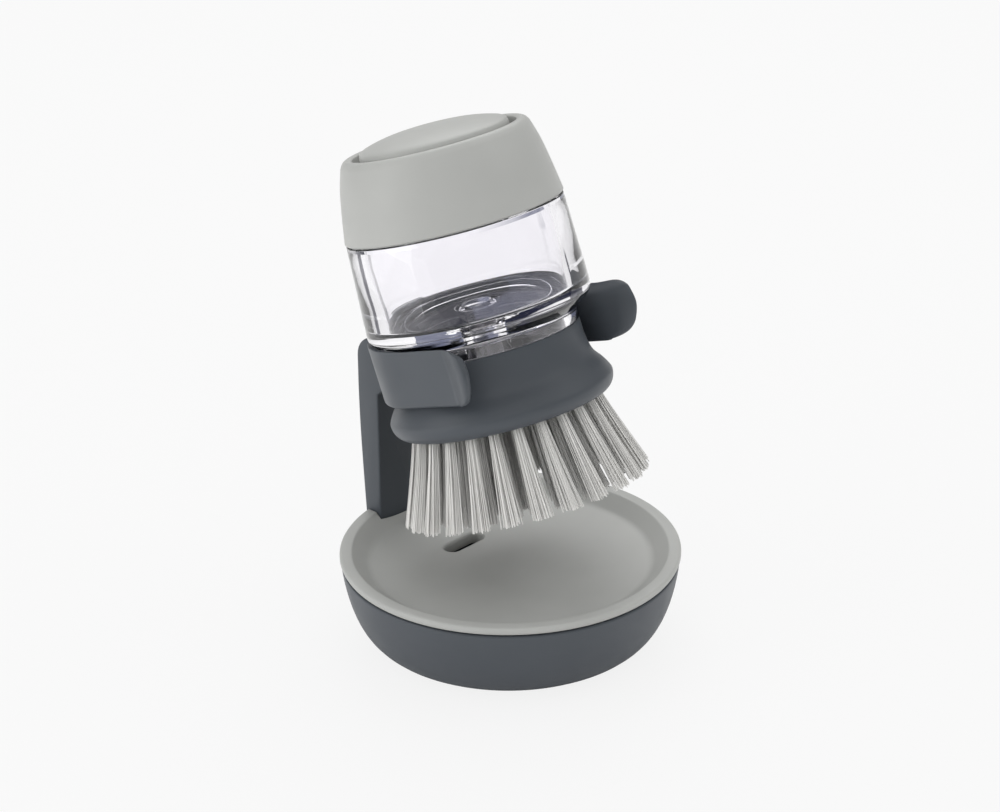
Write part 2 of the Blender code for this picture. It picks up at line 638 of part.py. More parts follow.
def make_air_diaphragm(materials, frame):
    """Silicone hat, clamped by its brim, whose crown the spring holds against the button."""
    brim_top = brim_foot + DIAPHRAGM_WALL
    outline = [(0.0, crown_top),
               (diaphragm_crown, crown_top),
               (diaphragm_foot, brim_top + DIAPHRAGM_WALL),
               (diaphragm_foot, brim_top),
               (plate_radius, brim_top),
               (plate_radius, brim_foot),
               (diaphragm_foot - DIAPHRAGM_WALL, brim_foot),
               (diaphragm_crown - DIAPHRAGM_WALL / 2, crown_top - DIAPHRAGM_WALL),
               (0.0, crown_top - DIAPHRAGM_WALL)]
    return piece(turned("air_diaphragm", outline, INNER_STEPS), materials["silicone"], frame)


def make_diaphragm_plate(materials, frame):
    """Disc in the cap's socket that clamps the diaphragm, with a hub for the spring and air holes."""
    under = plate_top - PLATE_THICKNESS
    outline = [(0.0, under),
               (plate_radius, under),
               (plate_radius, plate_top),
               (PLATE_HUB_RADIUS, plate_top),
               (PLATE_HUB_RADIUS, plate_top + PLATE_HUB_HEIGHT),
               (0.0, plate_top + PLATE_HUB_HEIGHT)]
    plate = piece(turned("diaphragm_plate", outline, INNER_STEPS), materials["white"], frame)
    hole = [(0.0, under - OVERRUN), (PLATE_HOLE_RADIUS, under - OVERRUN),
            (PLATE_HOLE_RADIUS, plate_top + OVERRUN), (0.0, plate_top + OVERRUN)]
    ring = plate_radius * PLATE_HOLE_RING_SHARE
    for index in range(PLATE_HOLE_COUNT):
        angle = math.tau * index / PLATE_HOLE_COUNT
        cutter = guide(turned("plate_air_hole", hole, HOLE_STEPS), frame)
        cutter.location = (ring * math.cos(angle), ring * math.sin(angle), 0.0)
        combine(plate, cutter, "DIFFERENCE")
    return plate


def make_button_spring(materials, frame):
    """Coil spring between the plate and the diaphragm's crown."""
    low = plate_top + FIT + SPRING_WIRE_RADIUS
    high = crown_top - DIAPHRAGM_WALL - FIT - SPRING_WIRE_RADIUS
    radius = PLATE_HUB_RADIUS + FIT + SPRING_WIRE_RADIUS
    count = round(SPRING_COILS * SPRING_STEPS)
    curve = bpy.data.curves.new("button_spring", "CURVE")
    curve.dimensions = "3D"
    spline = curve.splines.new("POLY")
    spline.points.add(count)
    for index, point in enumerate(spline.points):
        angle = math.tau * index / SPRING_STEPS
        level = low + (high - low) * index / count
        point.co = (radius * math.cos(angle), radius * math.sin(angle), level, 1.0)
    curve.bevel_depth = SPRING_WIRE_RADIUS
    curve.bevel_resolution = 0
    curve.use_fill_caps = True
    item = bpy.data.objects.new("button_spring", curve)
    bpy.context.collection.objects.link(item)
    return piece(item, materials["steel"], frame)


def ring_gasket(name, inner, outer, level, materials, frame):
    """Flat sealing ring, with its underside at a level."""
    top = level + GASKET_THICKNESS
    outline = [(inner, level), (outer, level), (outer, top), (inner, top)]
    return piece(turned(name, outline, INNER_STEPS), materials["silicone"], frame)


def make_gaskets(materials, frame):
    """Rings at the mouth, under the skirt and under the outlet tube."""
    ring_gasket("cap_gasket", mouth_radius - MOUTH_WALL + GASKET_MARGIN, mouth_radius - GASKET_MARGIN,
                mouth_top + FIT, materials, frame)
    seat = head_floor + FIT
    ring_gasket("head_gasket", skirt_radius - SKIRT_WALL + GASKET_MARGIN, skirt_radius - GASKET_MARGIN,
                seat, materials, frame)
    ring_gasket("outlet_gasket", OUTLET_BORE + 2 * GASKET_MARGIN, outlet_radius - GASKET_MARGIN,
                seat, materials, frame)


# Head, bristles and valve

def make_brush_head(materials, frame):
    """Flared head with a bayonet socket above, ribs for the bristle backings and a valve boss below."""
    socket = skirt_radius + FIT
    groove = socket + LUG_REACH
    groove_top = head_top - LUG_DROP + FIT
    groove_foot = head_top - LUG_DROP - LUG_HEIGHT - FIT
    under = head_floor - HEAD_FLOOR_THICKNESS
    recess = backing_radius + BACKING_FIT
    ledge = recess - HEAD_WALL
    seat = backing_top + FIT
    rib = middle_radius - middle_width / 2
    valve_seat = head_foot + VALVE_POCKET_DEPTH
    outline = head_side()
    outline += [(recess, head_foot),
                (recess, seat),
                (ledge, seat),
                (ledge, under),
                (rib + HEAD_RIB / 2, under),
                (rib + HEAD_RIB / 2, seat),
                (rib - HEAD_RIB / 2, seat),
                (rib - HEAD_RIB / 2, under),
                (boss_radius + HEAD_RIB, under),
                (boss_radius + HEAD_RIB, seat),
                (boss_radius, seat),
                (boss_radius, head_foot),
                (valve_pocket, head_foot),
                (valve_pocket, valve_seat),
                (OUTLET_BORE, valve_seat),
                (OUTLET_BORE, head_floor),
                (socket, head_floor),
                (socket, groove_foot),
                (groove, groove_foot),
                (groove, groove_top),
                (socket, groove_top),
                (socket, head_top)]
    head = piece(turned("brush_head", outline, BRUSH_STEPS), materials["dark"], frame)
    entries = sectors("head_entries", socket - LUG_ROOT, groove, groove_foot + FIT, head_top + OVERRUN,
                      lug_angles(TWIST_ANGLE), entry_angle)
    combine(head, guide(entries, frame), "DIFFERENCE")
    return head


def tuft_offsets(strands):
    """Unit offsets of a tuft's strands: one in the middle of a full tuft, the rest round it."""
    offsets = [(0.0, 0.0)] if strands > OPEN_TUFT_STRANDS else []
    around = strands - len(offsets)
    for index in range(around):
        angle = math.tau * (index + 0.5) / around
        offsets.append((math.cos(angle), math.sin(angle)))
    return offsets


def make_bristles(name, outer, width, tufts, strands, splay, spread, materials, frame):
    """Ring of tufts, fused to its slice of the backing. Each tuft stands in the middle of a facet."""
    middle = outer - width / 2
    backing = turned(name, [(outer - width, head_foot), (outer, head_foot), (outer, backing_top),
                            (outer - width, backing_top)], BACKING_STEPS)
    bm = bmesh.new()
    for tuft in range(tufts):
        turn = Matrix.Rotation(math.tau * tuft / tufts + math.pi / BACKING_STEPS, 4, "Z")
        for index, (across, along) in enumerate(tuft_offsets(strands)):
            cycle = tuft * STRAND_CYCLE_SHARES[0] + index * STRAND_CYCLE_SHARES[1]
            shortfall = STRAND_UNEVENNESS * (1.0 + math.sin(math.tau * cycle))
            root = Vector((middle + across * TUFT_ROOT_RADIUS, along * TUFT_ROOT_RADIUS,
                           head_foot + STRAND_ROOT))
            tip = Vector((middle + splay + across * TUFT_TIP_DEPTH * spread, along * TUFT_TIP_SPREAD * spread,
                          bristle_tip + shortfall))
            add_strand(bm, turn @ root, turn @ tip)
    combine(backing, guide(finish(bm, name + "_strands"), frame), "UNION")
    return piece(backing, materials["bristle"], frame)


def add_strand(bm, root, tip):
    """One straight strand of a few flat sides, a little thinner at its tip."""
    heading = math.atan2(root.y, root.x)
    rings = []
    for centre, radius in ((root, STRAND_RADIUS), (tip, STRAND_RADIUS * STRAND_TIP_SHARE)):
        ring = []
        for side in range(STRAND_SIDES):
            angle = heading + math.tau * side / STRAND_SIDES
            ring.append(bm.verts.new(centre + radius * Vector((math.cos(angle), math.sin(angle), 0.0))))
        rings.append(ring)
    for side in range(STRAND_SIDES):
        following = (side + 1) % STRAND_SIDES
        bm.faces.new((rings[0][side], rings[0][following], rings[1][following], rings[1][side]))
    bm.faces.new(rings[0])
    bm.faces.new(rings[1])


def make_all_bristles(materials, frame):
    """The three rings of tufts."""
    make_bristles("bristles_outer", backing_radius, outer_width, OUTER_TUFTS, OUTER_STRANDS,
                  OUTER_SPLAY, 1.0, materials, frame)
    make_bristles("bristles_middle", middle_radius, middle_width, MIDDLE_TUFTS, MIDDLE_STRANDS,
                  MIDDLE_SPLAY, INNER_SPREAD_SHARE, materials, frame)
    make_bristles("bristles_inner", inner_radius, inner_width, INNER_TUFTS, INNER_STRANDS,
                  INNER_SPLAY, INNER_SPREAD_SHARE, materials, frame)


def make_valve(materials, frame):
    """Silicone slit valve in the head's boss, and the ring that holds it in."""
    top = head_foot + VALVE_POCKET_DEPTH - FIT
    foot = top - VALVE_FLANGE
    dome = VALVE_RADIUS - RETAINER_WALL - FIT
    bend = dome * VALVE_BEND_SHARES[0]
    bend_level = foot - VALVE_DOME * VALVE_BEND_SHARES[1]
    outline = [(0.0, foot - VALVE_DOME),
               (bend, bend_level),
               (dome, foot),
               (VALVE_RADIUS, foot),
               (VALVE_RADIUS, top),
               (dome - VALVE_SKIN / 2, top),
               (bend, bend_level + VALVE_SKIN),
               (0.0, foot - VALVE_DOME + VALVE_SKIN)]
    valve = piece(turned("slit_valve", outline, SMALL_STEPS), materials["silicone"], frame)
    half = (VALVE_SLIT_LENGTH / 2, VALVE_SLIT_WIDTH / 2)
    slit = box("valve_slit", (-half[0], -half[1], foot - VALVE_DOME - OVERRUN),
               (half[0], half[1], top + OVERRUN))
    combine(valve, guide(slit, frame), "DIFFERENCE")
    ring_top = foot - FIT
    inner = VALVE_RADIUS - RETAINER_WALL
    ring = [(inner, ring_top - RETAINER_DEPTH), (VALVE_RADIUS, ring_top - RETAINER_DEPTH),
            (VALVE_RADIUS, ring_top), (inner, ring_top)]
    piece(turned("valve_retainer", ring, SMALL_STEPS), materials["dark"], frame)


# Stand

def cradle_ring(radius, arm, flare, reach, level):
    """One level of the cradle's outline: round at the back, straight arms, tips turned out."""
    points = []
    for step in range(BACK_STEPS + 1):
        angle = math.pi * step / BACK_STEPS
        across = radius * math.cos(angle)
        points.append((max(-arm, min(arm, across)), radius * math.sin(angle), level))
    crease = min(ARM_STRAIGHT, reach)
    share = (reach - ARM_STRAIGHT) / (ARM_REACH - ARM_STRAIGHT)
    tip = arm + flare * max(0.0, share)
    points += [(-arm, -crease, level), (-tip, -reach, level), (tip, -reach, level), (arm, -crease, level)]
    return points


def make_cradle(frame):
    """Solid block of the cradle's outer shape, in the brush's frame, with D-shaped arm ends."""
    rings = []
    for along, short in ARM_END_SHARES:
        level = cradle_top - CRADLE_HEIGHT * along
        radius = cradle_radius - CRADLE_DRAW_IN * along
        reach = ARM_REACH * (1.0 - short)
        rings.append(cradle_ring(radius, radius - ARM_NARROWING, ARM_FLARE, reach, level))
    return guide(loft("cradle_block", rings), frame)


def make_brush_passage(frame):
    """Space that the reservoir's underside, neck and head need, drawn out through the cradle's mouth."""
    side = reservoir_side()[1:] + head_side()
    reach = ARM_REACH + OVERRUN
    rings = []
    for radius, level in side:
        clear = radius + CRADLE_FIT
        rings.append(cradle_ring(clear, clear, ARM_INNER_FLARE, reach, level))
    top = rings[0][0][2] + OVERRUN
    rings.insert(0, [(x, y, top) for x, y, level in rings[0]])
    return guide(loft("brush_passage", rings), frame)


def make_cradle_stand(materials, frame):
    """Upright with its web, the cradle on top, and the foot inside the bowl."""
    half = UPRIGHT_WIDTH / 2
    low = bowl_rim - NOTCH_DEPTH + FIT
    back_top = brush_point(cradle_top, cradle_radius)
    back_foot = brush_point(cradle_foot, cradle_radius)
    root_top = brush_point(cradle_top - CRADLE_ROOT, cradle_radius - CRADLE_ROOT)
    root_foot = brush_point(cradle_foot + CRADLE_ROOT, cradle_radius - CRADLE_ROOT)
    top = back_top[1] - UPRIGHT_TOP_DROP
    outline = [(upright_front, low), (upright_front, back_foot[1] - WEB_DROP), root_foot, root_top]
    back = upright_rear + UPRIGHT_BULGE * UPRIGHT_BULGE_SHARES[-1][1]
    for step in range(UPRIGHT_TOP_STEPS + 1):
        angle = math.pi / 2 * (1.0 - step / UPRIGHT_TOP_STEPS)
        outline.append((back - UPRIGHT_TOP_ROUND * (1.0 - math.cos(angle)),
                        top - UPRIGHT_TOP_ROUND * (1.0 - math.sin(angle))))
    bulge_rise = (top - UPRIGHT_TOP_ROUND - bowl_rim) / UPRIGHT_BULGE_SHARES[-1][0]
    for along, out in reversed(UPRIGHT_BULGE_SHARES[:-1]):
        outline.append((upright_rear + UPRIGHT_BULGE * out, bowl_rim + bulge_rise * along))
    outline.append((upright_rear, low))
    stand = slab("cradle_stand", outline, -half, half, axis="X")
    bevel = stand.modifiers.new("Edges", "BEVEL")
    bevel.width = UPRIGHT_EDGE
    bevel.segments = ROUND_STEPS
    bevel.limit_method = "ANGLE"
    bevel.angle_limit = BEVEL_ANGLE
    combine(stand, make_cradle(frame), "UNION")
    combine(stand, make_brush_passage(frame), "DIFFERENCE")
    trim_to_bowl(stand)
    combine(stand, make_foot(), "UNION")
    for sign in (-1, 1):
        hole = [(0.0, bowl_floor - OVERRUN), (SCREW_RADIUS + FIT, bowl_floor - OVERRUN),
                (SCREW_RADIUS + FIT, foot_top + BOSS_HEIGHT - FIT), (0.0, foot_top + BOSS_HEIGHT - FIT)]
        cutter = guide(turned("foot_screw_hole", hole, SMALL_STEPS))
        cutter.location = (sign * SCREW_SPREAD, screw_y, 0.0)
        combine(stand, cutter, "DIFFERENCE")
    return piece(stand, materials["dark"])


def trim_to_bowl(stand):
    """Take off what stands outside the bowl's curved side, below the rim."""
    side = bowl_outline(bowl_radius, bowl_rim, BOWL_HEIGHT)
    wide = DISH_RADIUS + UPRIGHT_THICKNESS
    outline = side + [(side[-1][0], -OVERRUN), (wide, -OVERRUN), (wide, bowl_rim)]
    shell = guide(turned("outside_of_bowl", outline, DISH_STEPS))
    combine(stand, shell, "DIFFERENCE")


def make_foot():
    """Foot plate, brace and screw bosses, shaped to the inside of the bowl."""
    half = FOOT_WIDTH / 2
    brace_top = bowl_rim - NOTCH_DEPTH + FOOT_JOIN
    outline = [(foot_end, foot_low), (upright_rear, foot_low), (upright_rear, brace_top),
               (upright_front - FIT, brace_top), (upright_front - BRACE_REACH, brace_top - BRACE_DROP),
               (upright_front - BRACE_LENGTH, foot_top), (foot_end, foot_top)]
    foot = guide(slab("foot_block", outline, -half, half, axis="X"))
    inside = bowl_outline(bowl_radius - BOWL_WALL - FIT, bowl_rim, BOWL_HEIGHT - BOWL_FLOOR)
    inside[-1] = (inside[-1][0], foot_low)
    room = turned("room_in_bowl", [(0.0, bowl_rim)] + inside + [(0.0, foot_low)], DISH_STEPS)
    combine(foot, guide(room), "INTERSECT")
    for sign in (-1, 1):
        boss = [(0.0, foot_low + FIT), (SCREW_RADIUS + FIT + BOSS_WALL, foot_low + FIT),
                (SCREW_RADIUS + FIT + BOSS_WALL, foot_top + BOSS_HEIGHT), (0.0, foot_top + BOSS_HEIGHT)]
        item = guide(turned("foot_boss", boss, SMALL_STEPS))
        item.location = (sign * SCREW_SPREAD, screw_y, 0.0)
        combine(foot, item, "UNION")
    return foot


def make_screws(materials):
    """The two screws from below, with hexagonal sockets."""
    seat = PAD_THICKNESS + FIT
    shank = seat + SCREW_HEAD_HEIGHT
    end = foot_top + BOSS_HEIGHT - 2 * FIT
    for name, sign in (("stand_screw_left", -1), ("stand_screw_right", 1)):
        outline = [(0.0, seat), (SCREW_HEAD_RADIUS, seat), (SCREW_HEAD_RADIUS, shank),
                   (SCREW_RADIUS, shank), (SCREW_RADIUS, end), (0.0, end)]
        screw = turned(name, outline, SMALL_STEPS)
        screw.location = (sign * SCREW_SPREAD, screw_y, 0.0)
        socket = arc((0.0, 0.0), SCREW_SOCKET_RADIUS, 0.0, 360.0, SOCKET_SIDES)[1:]
        cutter = guide(slab(name + "_socket", socket, seat - OVERRUN, seat + SCREW_SOCKET_DEPTH))
        cutter.location = screw.location
        combine(screw, cutter, "DIFFERENCE")
        piece(screw, materials["steel"])


def make_materials():
    """Colours as the photograph shows them, in linear light."""
    return {
        "light": plastic("light grey plastic", (0.50, 0.50, 0.48), 0.42),
        "dark": plastic("dark grey plastic", (0.075, 0.085, 0.092), 0.45),
        "clear": plastic("clear plastic", (0.92, 0.91, 0.97), 0.04, transmission=1.0),
        "white": plastic("white plastic", (0.80, 0.80, 0.80), 0.40),
        "silicone": plastic("silicone", (0.30, 0.31, 0.32), 0.55),
        "rubber": plastic("pad rubber", (0.05, 0.05, 0.055), 0.70),
        "bristle": plastic("bristle", (0.68, 0.68, 0.66), 0.50),
        "steel": steel("steel", (0.62, 0.62, 0.62), 0.30),
    }


def main():
    clear_scene()
    materials = make_materials()
    frame = bpy.data.objects.new("brush_frame", None)
    frame.location = (0.0, joint_y, joint_z)
    frame.rotation_euler = (-BRUSH_TILT, 0.0, 0.0)
    bpy.context.collection.objects.link(frame)
    make_base_bowl(materials)
    make_foot_pad(materials)
    make_drip_tray(materials)
    make_cradle_stand(materials, frame)
    make_screws(materials)
    make_reservoir(materials, frame)
    make_cap_collar(materials, frame)
    make_press_button(materials, frame)
    make_air_diaphragm(materials, frame)
    make_diaphragm_plate(materials, frame)
    make_button_spring(materials, frame)
    make_gaskets(materials, frame)
    make_brush_head(materials, frame)
    make_all_bristles(materials, frame)
    make_valve(materials, frame)


main()
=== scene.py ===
"""Looks of a palm dish brush on its drip stand, laid out as a Blender add-on.

Metres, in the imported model's frame: +Z up, the upright at +Y and the cradle open towards -Y. The brush's
pieces are made upright with the joint between cap and reservoir at zero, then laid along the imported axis.
"""

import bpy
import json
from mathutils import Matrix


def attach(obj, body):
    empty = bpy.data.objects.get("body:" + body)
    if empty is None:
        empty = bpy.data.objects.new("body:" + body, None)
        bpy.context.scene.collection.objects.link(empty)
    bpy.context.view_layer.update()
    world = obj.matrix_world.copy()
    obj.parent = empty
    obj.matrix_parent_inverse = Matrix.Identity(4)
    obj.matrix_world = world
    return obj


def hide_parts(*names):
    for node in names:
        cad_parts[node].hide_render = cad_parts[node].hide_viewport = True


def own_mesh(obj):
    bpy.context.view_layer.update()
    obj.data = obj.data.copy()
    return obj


bl_info = {
    "name": "Palm dish brush",
    "version": (1, 0, 0),
    "blender": (4, 5, 0),
    "location": "View3D > Sidebar > Dish brush",
    "description": "Makes the finished pieces of a palm dish brush, its stand and its stage",
    "category": "Add Mesh",
}

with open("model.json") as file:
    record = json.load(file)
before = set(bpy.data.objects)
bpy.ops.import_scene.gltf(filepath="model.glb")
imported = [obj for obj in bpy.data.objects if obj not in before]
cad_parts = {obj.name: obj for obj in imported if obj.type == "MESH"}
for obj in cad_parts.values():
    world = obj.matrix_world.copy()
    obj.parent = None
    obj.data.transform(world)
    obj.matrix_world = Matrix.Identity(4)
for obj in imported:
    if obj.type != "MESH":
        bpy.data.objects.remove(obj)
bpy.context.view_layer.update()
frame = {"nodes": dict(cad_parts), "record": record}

import json
import math

import bmesh
import bpy
from bpy.props import FloatProperty, FloatVectorProperty, IntProperty, PointerProperty
from bpy.types import Operator, Panel, PropertyGroup
from mathutils import Matrix, Vector

MM = 0.001

# Fineness of the finished meshes
DISH_STEPS = 160
BRUSH_STEPS = 144
SMALL_STEPS = 48
CORNER_STEPS = 4
FLOW_STEPS = 5
SHARP_ANGLE = math.radians(40.0)
SHARED_SIDE = 0.48              # share of an outline's side that a corner takes, next to a rounded one
OWN_SIDE = 0.98                 # the same, next to a sharp corner
POLE = 1e-6                     # a radius below this lies on the axis
OVERRUN = 2.0 * MM              # how far a cutter runs past the faces it opens
FIT = 0.3 * MM
SEAM = 0.3 * MM                 # how much wider the gap under the tray's rim is at its outside

# The brush's place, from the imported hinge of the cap
joints = {joint["name"]: joint for joint in frame["record"]["behaviour"]["joints"]}
brush_joint = Vector(joints["cap_twist"]["pos_m"])
brush_axis = Vector(joints["cap_twist"]["axis"]).normalized()
brush_tilt = math.atan2(brush_axis.y, brush_axis.z)
brush_place = Matrix.Translation(brush_joint) @ Matrix.Rotation(-brush_tilt, 4, "X")


def linear(code):
    """Linear light of an sRGB hex colour such as "B8BAB7"."""
    shares = [int(code[index:index + 2], 16) / 255.0 for index in (0, 2, 4)]
    return tuple(share / 12.92 if share <= 0.04045 else ((share + 0.055) / 1.055) ** 2.4 for share in shares)


def amount(name, description, default, least=0.0, **kind):
    """A number that a user can set, no smaller than its least."""
    return FloatProperty(name=name, description=description, default=default, min=least, **kind)


def length(name, description, millimetres):
    """A length that a user can set, with its default in millimetres."""
    return amount(name, description, millimetres * MM, unit="LENGTH", precision=5)


def degrees(name, description, default):
    """An angle that a user can set, with its default in degrees."""
    return FloatProperty(name=name, description=description, default=math.radians(default), subtype="ANGLE",
                         unit="ROTATION")


def whole(name, description, default, least):
    """A whole number that a user can set, no smaller than its least."""
    return IntProperty(name=name, description=description, default=default, min=least)


def tint(name, description, code):
    """A colour that a user can set, with its default as an sRGB hex code."""
    return FloatVectorProperty(name=name, description=description, default=linear(code), min=0.0, max=1.0,
                               size=3, subtype="COLOR")


class DishSizes(PropertyGroup):
    """Sizes of the bowl and the tray."""
    radius: length("Dish radius", "Outside radius of the tray's rim", 50.0)
    seam_setback: length("Seam setback", "How far the bowl's rim lies inside the tray's rim", 0.4)
    bowl_height: length("Bowl height", "From the bowl's base to its rim", 25.1)
    bowl_base: length("Base height", "How high the bowl's base stands over the worktop", 0.4)
    wall: length("Bowl wall", "Thickness of the bowl's side", 2.4)
    floor: length("Bowl floor", "Thickness of the bowl's base", 3.8)
    rim_height: length("Rim height", "Height of the tray's rim over the seam", 2.5)
    lip_width: length("Lip width", "Width of the flat lip round the tray", 4.2)
    well_depth: length("Well depth", "From the lip to the foot of the well's wall", 4.0)
    wall_run: length("Wall run", "How far the well's wall slopes inwards", 4.2)
    dishing: length("Dishing", "How much lower the middle of the well lies", 1.4)
    slot_length: length("Slot length", "Length of the drain slot", 15.3)
    slot_width: length("Slot width", "Width of the drain slot", 5.6)
    slot_offset: length("Slot offset", "From the dish's middle to the slot", 18.9)


class BrushSizes(PropertyGroup):
    """Sizes of the reservoir, the cap, the button and the head."""
    radius: length("Brush radius", "Widest radius of reservoir and head", 32.9)
    top_radius: length("Top radius", "Radius of the reservoir at the joint", 31.9)
    reservoir_length: length("Reservoir length", "From the joint to the reservoir's lowest ring", 30.0)
    neck_radius: length("Neck radius", "Radius of the neck that the cradle holds", 27.5)
    cavity_radius: length("Cavity radius", "Inside radius of the soap reservoir", 27.2)
    cap_height: length("Cap height", "From the joint to the crest of the cap", 23.3)
    button_radius: length("Button radius", "Radius of the press button", 21.9)
    button_apex: length("Button apex", "Height of the button's dome over the joint", 27.2)
    head_top: length("Head top", "From the joint down to the head", 36.4)
    head_length: length("Head length", "From the head's top to its foot", 21.6)


class BristleSizes(PropertyGroup):
    """Sizes and numbers of the tufts."""
    bristle_length: length("Bristle length", "How far the filaments stand out of the head", 25.5)
    filament: length("Filament radius", "Radius of one nylon filament", 0.15)
    outer_tufts: whole("Outer tufts", "Tufts in the outer ring and in the middle one", 24, 3)
    outer_filaments: whole("Outer filaments", "Filaments in each outer tuft", 54, 1)
    inner_tufts: whole("Inner tufts", "Tufts in the inner ring", 12, 3)
    inner_filaments: whole("Inner filaments", "Filaments in each middle and inner tuft", 50, 1)
    hole_radius: length("Hole radius", "Radius of a tuft where it leaves the backing", 1.35)
    tip_depth: length("Tip depth", "How far an outer tuft's tips stray inwards and outwards", 1.7)
    tip_spread: length("Tip spread", "How far an outer tuft's tips stray sideways", 2.9)
    unevenness: length("Unevenness", "How much shorter the shortest filament is", 1.0)
    seed: IntProperty(name="Seed", description="Seed of the filaments' unevenness", default=7)


class StandSizes(PropertyGroup):
    """Sizes of the upright and the cradle."""
    upright_width: length("Upright width", "Width of the upright", 20.6)
    upright_thickness: length("Upright thickness", "Thickness of the upright at the rim", 6.4)
    cradle_height: length("Cradle height", "Height of the cradle's band", 17.8)
    cradle_radius: length("Cradle radius", "Outside radius of the cradle's round back", 33.4)
    arm_reach: length("Arm reach", "From the brush's axis to the ends of the arms", 27.6)
    arm_flare: length("Arm flare", "How far the arms' ends turn out", 5.3)


class Finishes(PropertyGroup):
    """Colours of the materials."""
    light_plastic: tint("Light plastic", "Satin plastic of cap, button and tray", "AFB0AD")
    dark_plastic: tint("Dark plastic", "Satin plastic of bowl, stand and head", "484D53")
    clear_plastic: tint("Clear plastic", "Tint of the reservoir", "FCFBFE")
    filament: tint("Filament", "Nylon of the bristles", "F2F1EE")
    silicone: tint("Silicone", "Translucent seals and valve", "A9ACAE")
    rubber: tint("Rubber", "Non-slip pad", "3A3B3D")
    white_plastic: tint("White plastic", "Plate under the button", "E6E6E3")
    steel: tint("Steel", "Screws and spring", "C8C9CA")
    floor: tint("Floor", "Worktop under the dish", "F8F8F8")


# Meshes and objects

def finished(bm, name):
    """Turn a bmesh into a linked object with its faces pointing out."""
    bmesh.ops.remove_doubles(bm, verts=bm.verts[:], dist=POLE)
    bmesh.ops.recalc_face_normals(bm, faces=bm.faces[:])
    mesh = bpy.data.meshes.new(name)
    bm.to_mesh(mesh)
    bm.free()
    return linked(mesh, name)


def linked(mesh, name):
    """Link a mesh as an object at the origin."""
    item = bpy.data.objects.new(name, mesh)
    bpy.context.scene.collection.objects.link(item)
    return item


def smooth(item):
    """Smooth shading that keeps the real edges sharp."""
    item.data.shade_smooth()
    item.data.set_sharp_from_angle(angle=SHARP_ANGLE)
    return item


def combined(item, other, operation):
    """Cut, join or keep an object's shape with another's, and throw the other away."""
    modifier = item.modifiers.new(operation.title(), "BOOLEAN")
    modifier.operation = operation
    modifier.solver = "EXACT"
    modifier.object = other
    applied(item)
    bpy.data.objects.remove(other, do_unlink=True)


def applied(item):
    """Replace an object's mesh by what its modifiers make of it."""
    evaluated = item.evaluated_get(bpy.context.evaluated_depsgraph_get())
    mesh = bpy.data.meshes.new_from_object(evaluated)
    item.modifiers.clear()
    old = item.data
    item.data = mesh
    bpy.data.meshes.remove(old)
    mesh.name = item.name


def placed(item, matrix=None):
    """Lay a mesh where it belongs, with its object left at the origin."""
    item.data.transform(brush_place if matrix is None else matrix)
    return item


def turned(name, outline, steps):
    """Spin an outline of (radius, level) points round Z. One that doesn't start on the axis is closed."""
    bm = bmesh.new()
    angles = [math.tau * step / steps for step in range(steps)]
    rows = []
    for radius, level in outline:
        ring = [(0.0, 0.0)]
        if radius >= POLE:
            ring = [(radius * math.cos(angle), radius * math.sin(angle)) for angle in angles]
        rows.append([bm.verts.new((x, y, level)) for x, y in ring])
    pairs = list(zip(rows, rows[1:]))
    if outline[0][0] > POLE:
        pairs.append((rows[-1], rows[0]))
    for row, other in pairs:
        bridge(bm, row, other)
    return finished(bm, name)


def bridge(bm, row, other):
    """Skin two rings, of which one may be a pole."""
    count = max(len(row), len(other))
    if count == 1:
        return
    for index in range(count):
        following = (index + 1) % count
        if len(row) == 1:
            bm.faces.new((row[0], other[index], other[following]))
        elif len(other) == 1:
            bm.faces.new((row[index], row[following], other[0]))
        else:
            bm.faces.new((row[index], row[following], other[following], other[index]))


def loft(name, rings):
    """Skin a stack of rings, each a list of as many points, and close both ends."""
    bm = bmesh.new()
    rows = [[bm.verts.new(point) for point in ring] for ring in rings]
    for row, other in zip(rows, rows[1:]):
        bridge(bm, row, other)
    bm.faces.new(rows[0])
    bm.faces.new(rows[-1])
    return finished(bm, name)


def block(name, low, high):
    """A box between two corners."""
    corners = [(low[0], low[1]), (high[0], low[1]), (high[0], high[1]), (low[0], high[1])]
    return loft(name, [[(x, y, level) for x, y in corners] for level in (low[2], high[2])])


def rounded(points, closed=False, steps=CORNER_STEPS):
    """Outline whose corners with a third number are replaced by an arc of that radius."""
    outline = []
    count = len(points)
    for index, point in enumerate(points):
        corner = Vector(point[:2])
        radius = point[2] if len(point) > 2 else 0.0
        ends = not closed and index in (0, count - 1)
        if radius <= 0.0 or ends:
            outline.append(tuple(corner))
            continue
        sides = []
        for other in (points[index - 1], points[(index + 1) % count]):
            side = Vector(other[:2]) - corner
            sides.append((side.normalized(), side.length * (SHARED_SIDE if len(other) > 2 else OWN_SIDE)))
        (back, back_room), (ahead, ahead_room) = sides
        half = back.angle(ahead) / 2
        reach = min(radius / math.tan(half), back_room, ahead_room)
        radius = reach * math.tan(half)
        centre = corner + (back + ahead).normalized() * (radius / math.sin(half))
        start = corner + back * reach - centre
        end = corner + ahead * reach - centre
        turn = math.atan2(start.x * end.y - start.y * end.x, start.dot(end))
        for step in range(steps + 1):
            share = turn * step / steps
            cosine, sine = math.cos(share), math.sin(share)
            outline.append((centre.x + start.x * cosine - start.y * sine,
                            centre.y + start.x * sine + start.y * cosine))
    return outline


